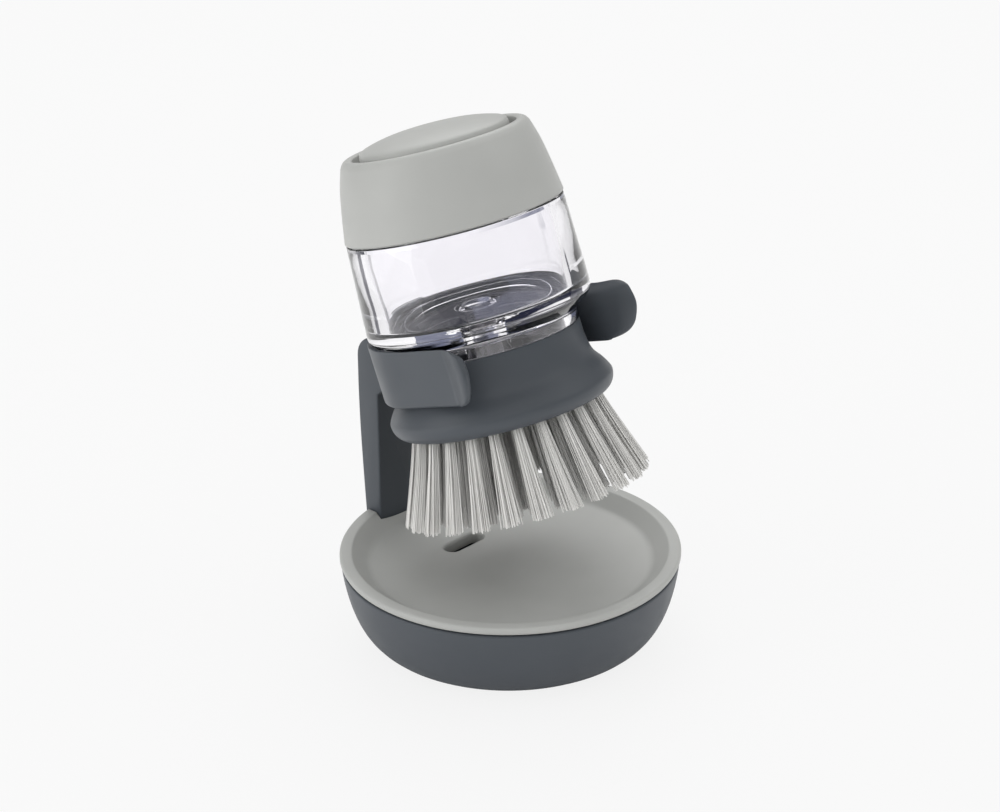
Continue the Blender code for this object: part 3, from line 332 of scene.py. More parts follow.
def flowing(points, steps=FLOW_STEPS):
    """A smooth line through the points, by a Catmull-Rom curve."""
    points = [Vector(point[:2]) for point in points]
    padded = [2 * points[0] - points[1]] + points + [2 * points[-1] - points[-2]]
    line = []
    for before, start, end, after in zip(padded, padded[1:], padded[2:], padded[3:]):
        for step in range(steps):
            share = step / steps
            place = 0.5 * ((2 * start) + (end - before) * share
                           + (2 * before - 5 * start + 4 * end - after) * share ** 2
                           + (3 * start - before - 3 * end + after) * share ** 3)
            line.append(tuple(place))
    line.append(tuple(points[-1]))
    return line


def mm(points):
    """Outline points from millimetres to metres, with any corner radius."""
    return [tuple(number * MM for number in point) for point in points]


# Materials

def wired(tree, node, links=None, **settings):
    """Set a node's sockets and properties, and link its sockets by name, by number or in their order.

    A link is a (node, output), or a node whose first output is meant. A number in its place sets the socket.
    """
    for name, value in settings.items():
        if name in node.inputs:
            node.inputs[name].default_value = value
        else:
            setattr(node, name, value)
    sides = links if isinstance(links, dict) else dict(enumerate(links or ()))
    for name, side in sides.items():
        if isinstance(side, (int, float)):
            node.inputs[name].default_value = side
            continue
        source, output = side if isinstance(side, tuple) else (side, 0)
        tree.links.new(source.outputs[output], node.inputs[name])
    return node


def add(tree, kind, links=None, **settings):
    """Add a node with its sockets, properties and links."""
    return wired(tree, tree.nodes.new(kind), links, **settings)


def new_material(name):
    """An empty node material with its Principled shader."""
    material = bpy.data.materials.new(name)
    material.use_nodes = True
    return material, material.node_tree, material.node_tree.nodes["Principled BSDF"]


def grained(tree, size, strength, height):
    """Bump of a fine moulded grain, of a given size and height in metres."""
    place = add(tree, "ShaderNodeTexCoord")
    grain = add(tree, "ShaderNodeTexNoise", {"Vector": (place, "Object")}, Scale=1.0 / size, Detail=2.0,
                Roughness=0.55)
    return add(tree, "ShaderNodeBump", {"Height": (grain, "Fac")}, Strength=strength, Distance=height)


def varied(tree, low, high, size):
    """A value that drifts slowly over the surface between two limits, over a given size in metres."""
    place = add(tree, "ShaderNodeTexCoord")
    drift = add(tree, "ShaderNodeTexNoise", {"Vector": (place, "Object")}, Scale=1.0 / size, Detail=3.0)
    return add(tree, "ShaderNodeMapRange", {"Value": (drift, "Fac")}, **{
        "From Min": 0.3, "From Max": 0.7, "To Min": low, "To Max": high})


def shaded(tree, colour, depth, size):
    """A colour that drifts slightly darker over a given size in metres, as flow in a mould leaves it."""
    place = add(tree, "ShaderNodeTexCoord")
    drift = add(tree, "ShaderNodeTexNoise", {"Vector": (place, "Object")}, Scale=1.0 / size, Detail=2.0)
    ramp = add(tree, "ShaderNodeValToRGB", {"Fac": (drift, "Fac")})
    ramp.color_ramp.elements[0].position = 0.35
    ramp.color_ramp.elements[0].color = (*(share * (1.0 - depth) for share in colour), 1.0)
    ramp.color_ramp.elements[1].position = 0.65
    ramp.color_ramp.elements[1].color = (*colour, 1.0)
    return ramp


def satin_polypropylene(name, colour, roughness):
    """Polypropylene from a spark-eroded mould: an even satin skin with a fine grain and soft, wide gloss."""
    material, tree, shader = new_material(name)
    # The real grain is about 0.05 mm. It is drawn at 0.25 mm so that it shows at all.
    wired(tree, shader, {"Base Color": shaded(tree, colour, 0.04, 22.0 * MM),
                         "Roughness": varied(tree, roughness - 0.03, roughness + 0.04, 9.0 * MM),
                         "Normal": grained(tree, 0.25 * MM, 0.10, 0.02 * MM)},
          **{"IOR": 1.49, "Specular IOR Level": 0.45})
    return material


def clear_copolyester(name, colour):
    """Clear copolyester, moulded thick in a polished tool: glassy, with a faint violet cast."""
    material, tree, shader = new_material(name)
    # Slow waves of 12 mm in the moulded wall bend what is seen through it.
    wired(tree, shader, {"Normal": grained(tree, 12.0 * MM, 0.05, 0.4 * MM)},
          **{"Base Color": (*colour, 1.0), "Roughness": 0.02, "IOR": 1.54, "Transmission Weight": 1.0})
    return material


def nylon_filament(name, colour):
    """Nylon filament, drawn and cut: pale, each strand of its own shade at random, with painted shade on the
    middle and inner rings.
    """
    material, tree, shader = new_material(name)
    shade = add(tree, "ShaderNodeAttribute", attribute_name="shade")
    ramp = add(tree, "ShaderNodeValToRGB", {"Fac": (shade, "Fac")})
    ramp.color_ramp.elements[0].color = (*(share * 0.42 for share in colour), 1.0)
    ramp.color_ramp.elements[1].color = (*colour, 1.0)
    wired(tree, shader, {"Base Color": ramp}, Roughness=0.38, IOR=1.53)
    return material


def cast_silicone(name, colour):
    """Liquid silicone, moulded: matt, with a dusty bloom."""
    material, tree, shader = new_material(name)
    wired(tree, shader, {"Roughness": varied(tree, 0.48, 0.62, 4.0 * MM),
                         "Normal": grained(tree, 0.4 * MM, 0.10, 0.03 * MM)},
          **{"Base Color": (*colour, 1.0), "IOR": 1.41, "Sheen Weight": 0.15})
    return material


def pad_rubber(name, colour):
    """Thermoplastic rubber, moulded: dull and grippy, with a coarse grain."""
    material, tree, shader = new_material(name)
    wired(tree, shader, {"Base Color": shaded(tree, colour, 0.15, 6.0 * MM),
                         "Roughness": varied(tree, 0.70, 0.85, 3.0 * MM),
                         "Normal": grained(tree, 0.6 * MM, 0.25, 0.08 * MM)})
    return material


def brushed_stainless(name, colour):
    """Stainless steel, drawn or turned: bright, with gloss that varies over fine marks."""
    material, tree, shader = new_material(name)
    wired(tree, shader, {"Roughness": varied(tree, 0.22, 0.36, 0.8 * MM)},
          **{"Base Color": (*colour, 1.0), "Metallic": 1.0})
    return material


# By the record's slot: the material's function and name, the setting of its colour, and any roughness
FINISHES = {
    "light": (satin_polypropylene, "light_satin_polypropylene", "light_plastic", 0.46),
    "dark": (satin_polypropylene, "dark_satin_polypropylene", "dark_plastic", 0.44),
    "white": (satin_polypropylene, "white_satin_polypropylene", "white_plastic", 0.40),
    "clear": (clear_copolyester, "clear_copolyester", "clear_plastic"),
    "bristle": (nylon_filament, "nylon_filament", "filament"),
    "silicone": (cast_silicone, "cast_silicone", "silicone"),
    "rubber": (pad_rubber, "pad_rubber", "rubber"),
    "steel": (brushed_stainless, "brushed_stainless", "steel"),
}


def finish(slot):
    """A slot's material, made the first time it is asked for."""
    make, name, colour, *rest = FINISHES[slot]
    made = bpy.data.materials.get(name)
    return made or make(name, getattr(bpy.context.scene.dish_brush_finishes, colour), *rest)


def dressed(item, slot, body, *nodes):
    """Give a piece its material and its body, and hide the CAD nodes that it stands for."""
    item.data.materials.clear()
    item.data.materials.append(finish(slot))
    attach(item, body)
    if nodes:
        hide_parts(*nodes)
    return item


# Outlines shared by pieces, in millimetres

BOWL_SIDE_POWER = 10.0
BOWL_DEPTH_POWER = 1.27
BOWL_SHARES = (0.0, 0.04, 0.1, 0.18, 0.27, 0.36, 0.45, 0.54, 0.62, 0.70, 0.77, 0.83, 0.88, 0.92, 0.95, 0.972,
               0.985, 0.99)
RESERVOIR_EDGE = ((32.9, -27.2), (32.8, -28.0), (32.48, -28.74), (32.0, -29.4), (31.5, -30.0))
NECK_FOOT = -32.8
HEAD_SIDE = ((27.35, -36.4), (27.6, -41.3), (28.24, -45.1), (29.2, -47.6), (31.07, -50.0), (32.2, -51.8),
             (32.9, -53.4), (32.65, -55.3), (31.85, -56.75), (30.65, -57.7), (29.1, -58.0))
PASSAGE_FIT = 0.35


def bowl_side(radius, top, height):
    """The bowl's curved side from its rim to its flat base, in metres."""
    line = []
    for share in BOWL_SHARES:
        width = radius * (1.0 - share ** BOWL_DEPTH_POWER) ** (1.0 / BOWL_SIDE_POWER)
        line.append((width, top - height * share))
    line[-1] = (line[-1][0], top - height)
    return line


def looked_up(table, value):
    """Straight-line reading of a table of (result, value) pairs whose values run downwards."""
    for (near, high), (far, low) in zip(table, table[1:]):
        if value >= low:
            return near + (far - near) * (high - value) / (high - low)
    return table[-1][0]


# Dish

PAD_RECESS = 1.5 * MM
PAD_MARGIN = 3.5 * MM           # edge of the bowl's base to the pad's recess
NOTCH_FIT = 0.4 * MM
NOTCH_FRONT = 43.1 * MM
NOTCH_REAR = 60.0 * MM
BOWL_NOTCH_DEPTH = 13.5 * MM
TRAY_NOTCH_DEPTH = 6.0 * MM
SCREW_ASIDE = 5.2 * MM
SCREW_BACK = 19.5 * MM
# Outlines in millimetres, turned round a screw's axis
SCREW_RECESS = ((0.0, 0.0), (2.9, 0.0), (2.9, 3.0), (1.6, 3.0), (1.6, 6.0), (0.0, 6.0))
PILOT_HOLE = ((0.0, 3.0), (1.6, 3.0), (1.6, 9.8), (0.0, 9.8))
SCREW_BOSS = ((0.0, 4.8), (3.4, 4.8), (3.4, 10.1), (0.0, 10.1))
TRAY_THICKNESS = 2.0 * MM
SKIRT_OUTER = 45.95 * MM        # skirt under the tray, inside the bowl's rim
SKIRT_INNER = 44.35 * MM
SKIRT_DEPTH = 3.3 * MM
SEAT_INNER = 46.9 * MM
SEAT_OUTER = 47.8 * MM
SEAT_EDGE = 48.0 * MM
DISHING_SHARES = ((0.28, 0.13), (0.55, 0.34), (0.8, 0.66))   # of the well's radius and of its dishing
SLOT_EDGE = 0.8 * MM
SLOT_STEPS = CORNER_STEPS + 2


def notched(item, scene, low, high):
    """Cut the notch that the upright stands in, between two levels."""
    half = scene.dish_brush_stand.upright_width / 2 + NOTCH_FIT
    cutter = block("notch", (-half, NOTCH_FRONT, low), (half, NOTCH_REAR, high + OVERRUN))
    combined(item, cutter, "DIFFERENCE")


def at_screws(item, name, outline, operation):
    """Cut or join a turned outline at both screws."""
    for sign in (-1, 1):
        place = Matrix.Translation((sign * SCREW_ASIDE, SCREW_BACK, 0.0))
        combined(item, placed(turned(name, mm(outline), SMALL_STEPS), place), operation)


class DISHBRUSH_OT_bowl(Operator):
    """Bowl under the tray, with a notch for the upright and holes for its screws"""
    bl_idname = "dish_brush.bowl"
    bl_label = "Bowl"

    def execute(self, context):
        sizes = context.scene.dish_brush_dish
        rim = sizes.bowl_base + sizes.bowl_height
        radius = sizes.radius - sizes.seam_setback
        side = bowl_side(radius, rim, sizes.bowl_height)
        inside = bowl_side(radius - sizes.wall, rim, sizes.bowl_height - sizes.floor)
        pad_edge = side[-1][0] - PAD_MARGIN
        outline = [(0.0, PAD_RECESS), (pad_edge, PAD_RECESS), (pad_edge, sizes.bowl_base, 0.2 * MM)]
        outline += [(*side[-1], 0.8 * MM)] + side[-2:0:-1]
        outline += [(*side[0], 0.6 * MM), (*inside[0], 0.3 * MM)] + inside[1:-1]
        outline += [(*inside[-1], 1.0 * MM), (0.0, inside[-1][1])]
        bowl = turned("bowl_shell", rounded(outline), DISH_STEPS)
        notched(bowl, context.scene, rim - BOWL_NOTCH_DEPTH, rim)
        at_screws(bowl, "screw_hole", SCREW_RECESS, "DIFFERENCE")
        dressed(smooth(bowl), "dark", "stand", "base_bowl")
        return {"FINISHED"}


class DISHBRUSH_OT_tray(Operator):
    """Dished tray with a rounded lip, a drain slot and a notch for the upright"""
    bl_idname = "dish_brush.tray"
    bl_label = "Drip tray"

    def execute(self, context):
        sizes = context.scene.dish_brush_dish
        seat = sizes.bowl_base + sizes.bowl_height + FIT
        top = seat + sizes.rim_height
        lip = sizes.radius - sizes.lip_width
        well = lip - sizes.wall_run
        floor = top - sizes.well_depth - sizes.dishing
        dish = flowing([(0.0, floor)] + [(well * out, floor + sizes.dishing * up)
                                         for out, up in DISHING_SHARES])
        under = sizes.radius - sizes.seam_setback
        outline = dish + [(well, floor + sizes.dishing, 4.0 * MM), (lip + 0.6 * MM, top, 1.2 * MM),
                          (sizes.radius, top, 1.3 * MM), (sizes.radius, top - 1.5 * MM, 0.5 * MM),
                          (under, seat + SEAM, 0.3 * MM), (SEAT_EDGE, seat + SEAM),
                          (SEAT_OUTER, seat), (SEAT_INNER, seat),
                          (SKIRT_OUTER, seat - SKIRT_DEPTH, 0.3 * MM),
                          (SKIRT_INNER, seat - SKIRT_DEPTH, 0.3 * MM), (SKIRT_INNER, seat),
                          (well, floor + sizes.dishing - TRAY_THICKNESS), (0.0, floor - TRAY_THICKNESS)]
        tray = turned("tray_dish", rounded(outline), DISH_STEPS)
        notched(tray, context.scene, seat - TRAY_NOTCH_DEPTH, top)
        collar = self.slot_rings(sizes, [(1.4 * MM, floor - 3.0 * MM), (1.4 * MM, floor - 1.0 * MM)])
        combined(tray, loft("slot_collar", collar), "UNION")
        combined(tray, self.slot_cutter(sizes, floor), "DIFFERENCE")
        dressed(smooth(tray), "light", "tray", "drip_tray")
        return {"FINISHED"}

    def slot_cutter(self, sizes, floor):
        """Round-ended block that widens at the tray's floor, so the slot's edge comes out rounded."""
        foot = floor + 0.40 * MM - SLOT_EDGE
        levels = [(0.0, floor - 5.0 * MM)]
        for step in range(SLOT_STEPS + 1):
            angle = math.pi / 2 * step / SLOT_STEPS
            levels.append((SLOT_EDGE * (1.0 - math.cos(angle)), foot + SLOT_EDGE * math.sin(angle)))
        levels.append((SLOT_EDGE, floor + 4.0 * MM))
        return loft("slot_cutter", self.slot_rings(sizes, levels))

    @staticmethod
    def slot_rings(sizes, levels):
        """Round-ended outlines of the slot, from how far each is grown and its level."""
        neck = sizes.slot_width / 2 - 0.35 * MM
        reach = sizes.slot_length / 2 - sizes.slot_width / 2
        rings = []
        for grown, level in levels:
            ring = []
            for sign, start in ((1, -90.0), (-1, 90.0)):
                for step in range(SMALL_STEPS // 2 + 1):
                    angle = math.radians(start + 360.0 * step / SMALL_STEPS)
                    ring.append((sign * reach + (neck + grown) * math.cos(angle),
                                 sizes.slot_offset + (neck + grown) * math.sin(angle), level))
            rings.append(ring)
        return rings


# Stand

CRADLE_TOP = -29.2
CRADLE_DRAW_IN = 0.7
ARM_NARROWING = 1.2
ARM_STRAIGHT = 17.0
ARM_INNER_FLARE = 5.2
ARM_SOFTNESS = 0.5              # how softly the round back runs into the straight arms
ARM_DIP = 0.9                   # how much lower the arms' top edge lies than the back's
TOP_EDGE = 0.15
FOOT_EDGE = 1.1
INNER_EDGE_SHARE = 0.35         # rounding of the inner edges, as a share of the outer ones
NOSE_LENGTH = 4.2               # how far the rounded nose of an arm stands out
SHORTEST_ARM = 1.2
OUTER_BEND = 3.5
INNER_BEND = 16.0
BAND_STEPS = 40
TIP_STEPS = 16
BAND_LEVELS = 44
ARM_DIP_DEPTH = 3.0             # how far below the top edge the dip has run out
BEND_STEPS = 6
ARM_STEPS = 5
NECK_ROUND = (27.5, NECK_FOOT, 4.0)
# How far short of its full reach the arm's end stops, by the share of the band's height from its top
ARM_END = ((0.22, 0.0), (0.155, 0.03), (0.08, 0.11), (0.028, 0.24), (0.0, 0.48), (0.045, 0.74), (0.12, 0.88),
           (0.23, 0.96), (0.36, 1.0))


def cradle_passage():
    """Radius of the space that the brush needs, by level, from the reservoir's edge to the head."""
    line = rounded([*RESERVOIR_EDGE, NECK_ROUND, *HEAD_SIDE])
    return [(radius + PASSAGE_FIT, level) for radius, level in line]


def arm_line(straight, reach, flare, full_reach, bend):
    """Right-hand wall of an arm from the brush's axis to its nose, turned out past a rounded bend."""
    end = straight + flare * (reach - ARM_STRAIGHT) / (full_reach - ARM_STRAIGHT)
    corner = rounded([(straight, 0.0), (straight, -ARM_STRAIGHT, bend), (end, -reach)], steps=BEND_STEPS)
    line = []
    for index, ((x, y), (far_x, far_y)) in enumerate(zip(corner, corner[1:])):
        steps = ARM_STEPS if index in (0, len(corner) - 2) else 1
        line += [(x + (far_x - x) * step / steps, y + (far_y - y) * step / steps) for step in range(steps)]
    return line + [corner[-1]]


def arm_end():
    """The arm's rounded end as a dense table of (how far short, level share below zero)."""
    return [(short, -along) for short, along in flowing(ARM_END, 8)]


def band_half(depth, sizes, passage):
    """Right half of the cradle's plan outline at a depth under its top edge, in millimetres.

    Returns its outer wall from the back to the arm's nose, its inner wall, and how far the nose stands out.
    """
    height = sizes.cradle_height / MM
    full_reach = sizes.arm_reach / MM
    inset = 0.0
    if depth < TOP_EDGE:
        inset = TOP_EDGE * (1.0 - math.sqrt(max(0.0, 1.0 - (1.0 - depth / TOP_EDGE) ** 2)))
    if depth > height - FOOT_EDGE:
        share = (depth - height + FOOT_EDGE) / FOOT_EDGE
        inset = FOOT_EDGE * (1.0 - math.sqrt(max(0.0, 1.0 - share ** 2)))
    inner_inset = inset * INNER_EDGE_SHARE
    share = depth / height
    outer = sizes.cradle_radius / MM - CRADLE_DRAW_IN * share
    arm = outer - ARM_NARROWING
    short = looked_up(arm_end(), -share)
    room = max(full_reach * (1.0 - short) - inset - ARM_STRAIGHT, SHORTEST_ARM)
    nose = min(NOSE_LENGTH, room / 2)
    reach = ARM_STRAIGHT + room - nose
    dip = ARM_DIP * max(0.0, 1.0 - depth / ARM_DIP_DEPTH)
    clear = looked_up(passage, CRADLE_TOP - depth)
    arm_clear = looked_up(passage, CRADLE_TOP - depth - dip)
    wall, hollow = [], []
    for step in range(BAND_STEPS):
        angle = math.pi / 2 * (1.0 - step / BAND_STEPS)
        side = math.cos(angle)
        back = math.sin(angle)
        blend = math.exp(-outer * side / ARM_SOFTNESS) + math.exp(-arm / ARM_SOFTNESS)
        lowered = dip * (1.0 - back) ** 2
        free = clear + (arm_clear - clear) * (1.0 - back) ** 2 + inner_inset
        wall.append((-ARM_SOFTNESS * math.log(blend) - inset * side, (outer - inset) * back, lowered))
        hollow.append((free * side, free * back, lowered))
    outside = arm_line(arm - inset, reach, sizes.arm_flare / MM, full_reach, OUTER_BEND)
    inside = arm_line(arm_clear + inner_inset, reach, ARM_INNER_FLARE, full_reach, INNER_BEND)
    wall += [(x, y, dip) for x, y in outside]
    hollow += [(x, y, dip) for x, y in inside]
    return wall, hollow, nose


def band_ring(depth, sizes, passage):
    """The whole plan outline at one depth, with the arms' ends rounded, and its two walls' lengths."""
    wall, hollow, nose = band_half(depth, sizes, passage)
    low = wall[-1][2]
    outer_end, inner_end = Vector(wall[-1][:2]), Vector(hollow[-1][:2])
    ahead = outer_end - Vector(wall[-2][:2]) + inner_end - Vector(hollow[-2][:2])
    forward = ahead.normalized() * nose
    middle, half = (outer_end + inner_end) / 2, (outer_end - inner_end) / 2
    tip = []
    for step in range(1, TIP_STEPS):
        angle = math.pi * step / TIP_STEPS
        tip.append((*(middle + half * math.cos(angle) + forward * math.sin(angle)), low))
    right = wall + tip + hollow[::-1]
    left = [(-x, y, low) for x, y, low in right]
    ring = right + left[::-1][1:-1]
    level = CRADLE_TOP - depth
    return [(x * MM, y * MM, (level - low) * MM) for x, y, low in ring], len(wall)


def capped_band(rings, walls):
    """Skin the stack of U-shaped outlines, with quads across the band's top and foot."""
    bm = bmesh.new()
    rows = [[bm.verts.new(point) for point in ring] for ring in rings]
    for row, other in zip(rows, rows[1:]):
        bridge(bm, row, other)
    last = 2 * walls + TIP_STEPS - 2
    for row in (rows[0], rows[-1]):
        right = row[:last + 1]
        left = [row[0]] + row[:last:-1] + [row[last]]
        for side in (right, left):
            for index in range(walls - 1):
                bm.faces.new((side[index], side[index + 1], side[last - index - 1], side[last - index]))
            bm.faces.new(side[walls - 1:last - walls + 2])
    return bm


UPRIGHT_PROUD = 0.3             # how far the upright's back stands outside the bowl's rim
UPRIGHT_FOOT = 13.2             # below the bowl's rim
UPRIGHT_TOP = 59.3              # above the bowl's rim
# How far the upright's back bulges out, by the height over the bowl's rim
UPRIGHT_BULGE = ((0.0, 0.0), (0.85, 15.3), (1.48, 29.3), (1.7, 41.5), (1.66, 48.0))
UPRIGHT_STEPS = 8
UPRIGHT_EDGE = 0.6 * MM         # rounding of its edges
FOOT_LEVEL = 4.5 * MM
FOOT_HALF_WIDTH = 8.0 * MM
# Side view of the foot plate and its brace in millimetres
FOOT_OUTLINE = ((13.5, 4.5), (49.9, 4.5), (49.9, 16.4), (43.2, 16.4), (39.0, 14.2), (34.5, 7.9), (13.5, 7.9))


def upright(sizes, dish):
    """Upright with its curved back, rounded top and the web that carries the cradle."""
    rim = (dish.bowl_base + dish.bowl_height) / MM
    rear = (dish.radius - dish.seam_setback) / MM + UPRIGHT_PROUD
    front = rear - sizes.upright_thickness / MM
    foot = rim - UPRIGHT_FOOT
    top = rim + UPRIGHT_TOP
    back = flowing([(rear + bulge, rim + level) for bulge, level in UPRIGHT_BULGE])
    outline = [(front, foot), (front, 67.3), (36.0, 73.4), (39.56, 86.88), (41.0, top)]
    outline += [(rear + 1.58, top, 6.8)] + back[::-1] + [(rear, foot)]
    half = sizes.upright_width / 2
    line = mm(rounded(outline, steps=UPRIGHT_STEPS))
    post = loft("upright", [[(x, y, z) for y, z in line] for x in (-half, half)])
    edges = post.modifiers.new("Edges", "BEVEL")
    edges.width = UPRIGHT_EDGE
    edges.segments = 3
    edges.limit_method = "ANGLE"
    edges.angle_limit = math.radians(50.0)
    applied(post)
    side = bowl_side(dish.radius - dish.seam_setback, dish.bowl_base + dish.bowl_height, dish.bowl_height)
    wide = dish.radius + 7.0 * MM
    outside = side + [(side[-1][0], -OVERRUN), (wide, -OVERRUN), (wide, side[0][1])]
    combined(post, turned("outside_of_bowl", outside, DISH_STEPS), "DIFFERENCE")
    return post


def foot_block(dish):
    """Foot plate, brace and screw bosses in the bowl, which the tray hides."""
    outline = mm(FOOT_OUTLINE)
    foot = loft("foot_block", [[(x, y, z) for y, z in outline] for x in (-FOOT_HALF_WIDTH, FOOT_HALF_WIDTH)])
    rim = dish.bowl_base + dish.bowl_height
    inside = bowl_side(dish.radius - dish.seam_setback - dish.wall - FIT, rim, dish.bowl_height - dish.floor)
    inside[-1] = (inside[-1][0], FOOT_LEVEL)
    room = turned("room_in_bowl", [(0.0, rim)] + inside + [(0.0, FOOT_LEVEL)], DISH_STEPS)
    combined(foot, room, "INTERSECT")
    at_screws(foot, "boss", SCREW_BOSS, "UNION")
    return foot


class DISHBRUSH_OT_stand(Operator):
    """Upright and U-shaped cradle, with the foot that its screws hold"""
    bl_idname = "dish_brush.stand"
    bl_label = "Stand"

    def execute(self, context):
        sizes = context.scene.dish_brush_stand
        dish = context.scene.dish_brush_dish
        height = sizes.cradle_height / MM
        passage = cradle_passage()
        depths = [height * (1.0 - math.cos(math.pi * step / BAND_LEVELS)) / 2
                  for step in range(BAND_LEVELS + 1)]
        rings = [band_ring(depth, sizes, passage) for depth in depths]
        band = finished(capped_band([ring for ring, walls in rings], rings[0][1]), "cradle_band")
        placed(band)
        stand = upright(sizes, dish)
        stand.name = "upright_and_cradle"
        combined(stand, foot_block(dish), "UNION")
        combined(stand, band, "UNION")
        at_screws(stand, "screw_hole", PILOT_HOLE, "DIFFERENCE")
        dressed(smooth(stand), "dark", "stand", "cradle_stand")
        return {"FINISHED"}


# Brush

LUG_TURNS = (90.0, 210.0, 330.0)
LUG_HALF_ANGLE = 10.0
ENTRY_HALF_ANGLE = 13.0
LOCK_ANGLE = 40.0               # how far a lug's entry lies from the locked lug
# Each ring of backing with its outside and inside radius
BACKINGS = (("outer_backing", 28.0, 24.4), ("middle_backing", 23.9, 18.5), ("inner_backing", 18.0, 9.2))
SUNFLOWER_TURN = 2.39996
STRAND_SEGMENTS = 5
STRAND_SIDES = 4
STRAND_LEAN_POWER = 1.08
ROOT_DEPTH = 0.5 * MM           # how deep the filaments are rooted in the backing
SEED_STRIDE = 31
# Least and most of each random value of a strand: its twist, how far its tip strays outwards and sideways,
# how short it is and how pale
STRAND_CHANCES = ((-0.5, 0.5), (-0.35 * MM, 0.35 * MM), (-0.55 * MM, 0.55 * MM), (0.0, 1.0), (0.0, 1.0))
# Each ring of tufts with its radius, its splay, the share of an outer tuft's spread, and the shades of its
# darkest and brightest filaments, from zero to one. The lower shades of the middle and inner rings are
# painted shade, where the outer tufts keep the light from them.
TUFT_RINGS = (("outer", 26.2, 8.6, 1.0, 0.55, 1.0), ("middle", 21.2, 7.0, 0.9, 0.2, 0.7),
              ("inner", 13.6, 4.5, 0.9, 0.1, 0.5))


class DISHBRUSH_OT_reservoir(Operator):
    """Thick clear cup with its mouth, neck, skirt and outlet tube"""
    bl_idname = "dish_brush.reservoir"
    bl_label = "Reservoir"

    def execute(self, context):
        sizes = context.scene.dish_brush_brush
        top = sizes.top_radius / MM
        neck = sizes.neck_radius / MM
        cavity = sizes.cavity_radius / MM
        outline = [(top - 3.0, 6.5, 0.3), (top - 3.0, -0.3), (top, -0.3, 0.25)]
        outline += flowing([(32.1, -5.5), (32.3, -10.5), (32.5, -16.0), (32.8, -22.0), *RESERVOIR_EDGE])
        outline += [(neck + 0.2, NECK_FOOT, 0.8), (neck, -36.1, 0.2), (24.9, -36.1), (24.9, -43.7, 0.2),
                    (22.7, -43.7, 0.2), (22.7, -29.7, 0.8), (6.6, -29.7, 0.8), (6.6, -43.7, 0.2),
                    (4.2, -43.7, 0.2), (4.2, -26.7, 0.5), (cavity, -26.7, 1.6), (cavity, -2.3, 0.5),
                    (cavity - 0.3, -0.3, 0.3), (cavity - 0.3, 6.5, 0.3)]
        cup = turned("soap_cup", mm(rounded(outline, closed=True)), BRUSH_STEPS)
        for wall, level in ((top - 3.0, 2.2), (24.9, -41.4)):
            lugs = sectors("lugs", 0.0, LUG_HALF_ANGLE, wall - 0.6, wall + 0.9, level, level + 1.6)
            combined(cup, lugs, "UNION")
        dressed(smooth(placed(cup)), "clear", "brush", "reservoir")
        return {"FINISHED"}


def sectors(name, offset, half_angle, inner, outer, low, high):
    """Three curved blocks at the bayonet's turns, from angles in degrees and sizes in millimetres."""
    bm = bmesh.new()
    for turn in LUG_TURNS:
        angles = [math.radians(turn + offset + half_angle * (step / 4 - 1.0)) for step in range(9)]
        outline = [(outer * math.cos(angle), outer * math.sin(angle)) for angle in angles]
        outline += [(inner * math.cos(angle), inner * math.sin(angle)) for angle in angles[::-1]]
        rows = [[bm.verts.new((x * MM, y * MM, level * MM)) for x, y in outline] for level in (low, high)]
        bridge(bm, *rows)
        bm.faces.new(rows[0])
        bm.faces.new(rows[1])
    return finished(bm, name)


class DISHBRUSH_OT_cap(Operator):
    """Cap that closes the reservoir, and the press button in its lip"""
    bl_idname = "dish_brush.cap"
    bl_label = "Cap and button"

    def execute(self, context):
        sizes = context.scene.dish_brush_brush
        foot = sizes.top_radius / MM + 0.2
        crest = sizes.cap_height / MM
        button = sizes.button_radius / MM
        guide = button + 0.4
        side = flowing([(foot, 0.5), (foot - 0.88, 6.04), (foot - 1.68, 10.8), (foot - 2.72, 15.94),
                        (foot - 4.0, 20.3), (foot - 4.5, 21.7), (foot - 5.35, crest - 0.45),
                        (foot - 6.4, crest), (foot - 7.5, crest - 0.1)])
        outline = [(foot - 0.5, 0.0, 0.2)] + side
        outline += [(foot - 8.0, crest - 0.4, 0.3), (foot - 8.5, 18.2), (guide, 17.9, 0.2),
                    (guide, 16.8, 0.3), (guide + 2.0, 16.8, 0.3), (guide + 2.0, 19.2), (foot - 6.1, 20.3),
                    (28.15, 10.8, 0.8), (18.3, 10.8, 0.3), (18.3, 8.6), (22.0, 8.6),
                    (22.0, 4.8, 0.2), (23.9, 4.8, 0.2), (23.9, 8.6), (29.2, 8.6), (29.2, 4.1), (30.1, 4.1),
                    (30.1, 1.9), (29.2, 1.9), (29.2, 0.0, 0.3)]
        collar = turned("cap_shell", mm(rounded(outline, closed=True)), BRUSH_STEPS)
        entries = sectors("lug_entries", -LOCK_ANGLE, ENTRY_HALF_ANGLE, 28.9, 30.1, -1.0, 3.0)
        combined(collar, entries, "DIFFERENCE")
        dressed(smooth(placed(collar)), "light", "cap", "cap_collar")
        apex = sizes.button_apex / MM
        dome = flowing([(button - 0.1, apex - 3.9), (button - 0.65, apex - 2.95), (button - 2.4, apex - 2.15),
                        (button * 0.66, apex - 0.98), (button * 0.33, apex - 0.24), (0.0, apex)])
        outline = [(0.0, 22.6), (8.0, 22.6, 0.3), (8.0, 24.2), (button - 2.0, 22.1, 0.5),
                   (button - 2.0, 15.1, 0.2), (button + 1.7, 15.1, 0.2), (button + 1.7, 16.5, 0.2),
                   (button, 16.5), (button, apex - 4.6)] + dome
        pressed = turned("button_dome", mm(rounded(outline)), BRUSH_STEPS)
        dressed(smooth(placed(pressed)), "light", "button", "press_button")
        return {"FINISHED"}


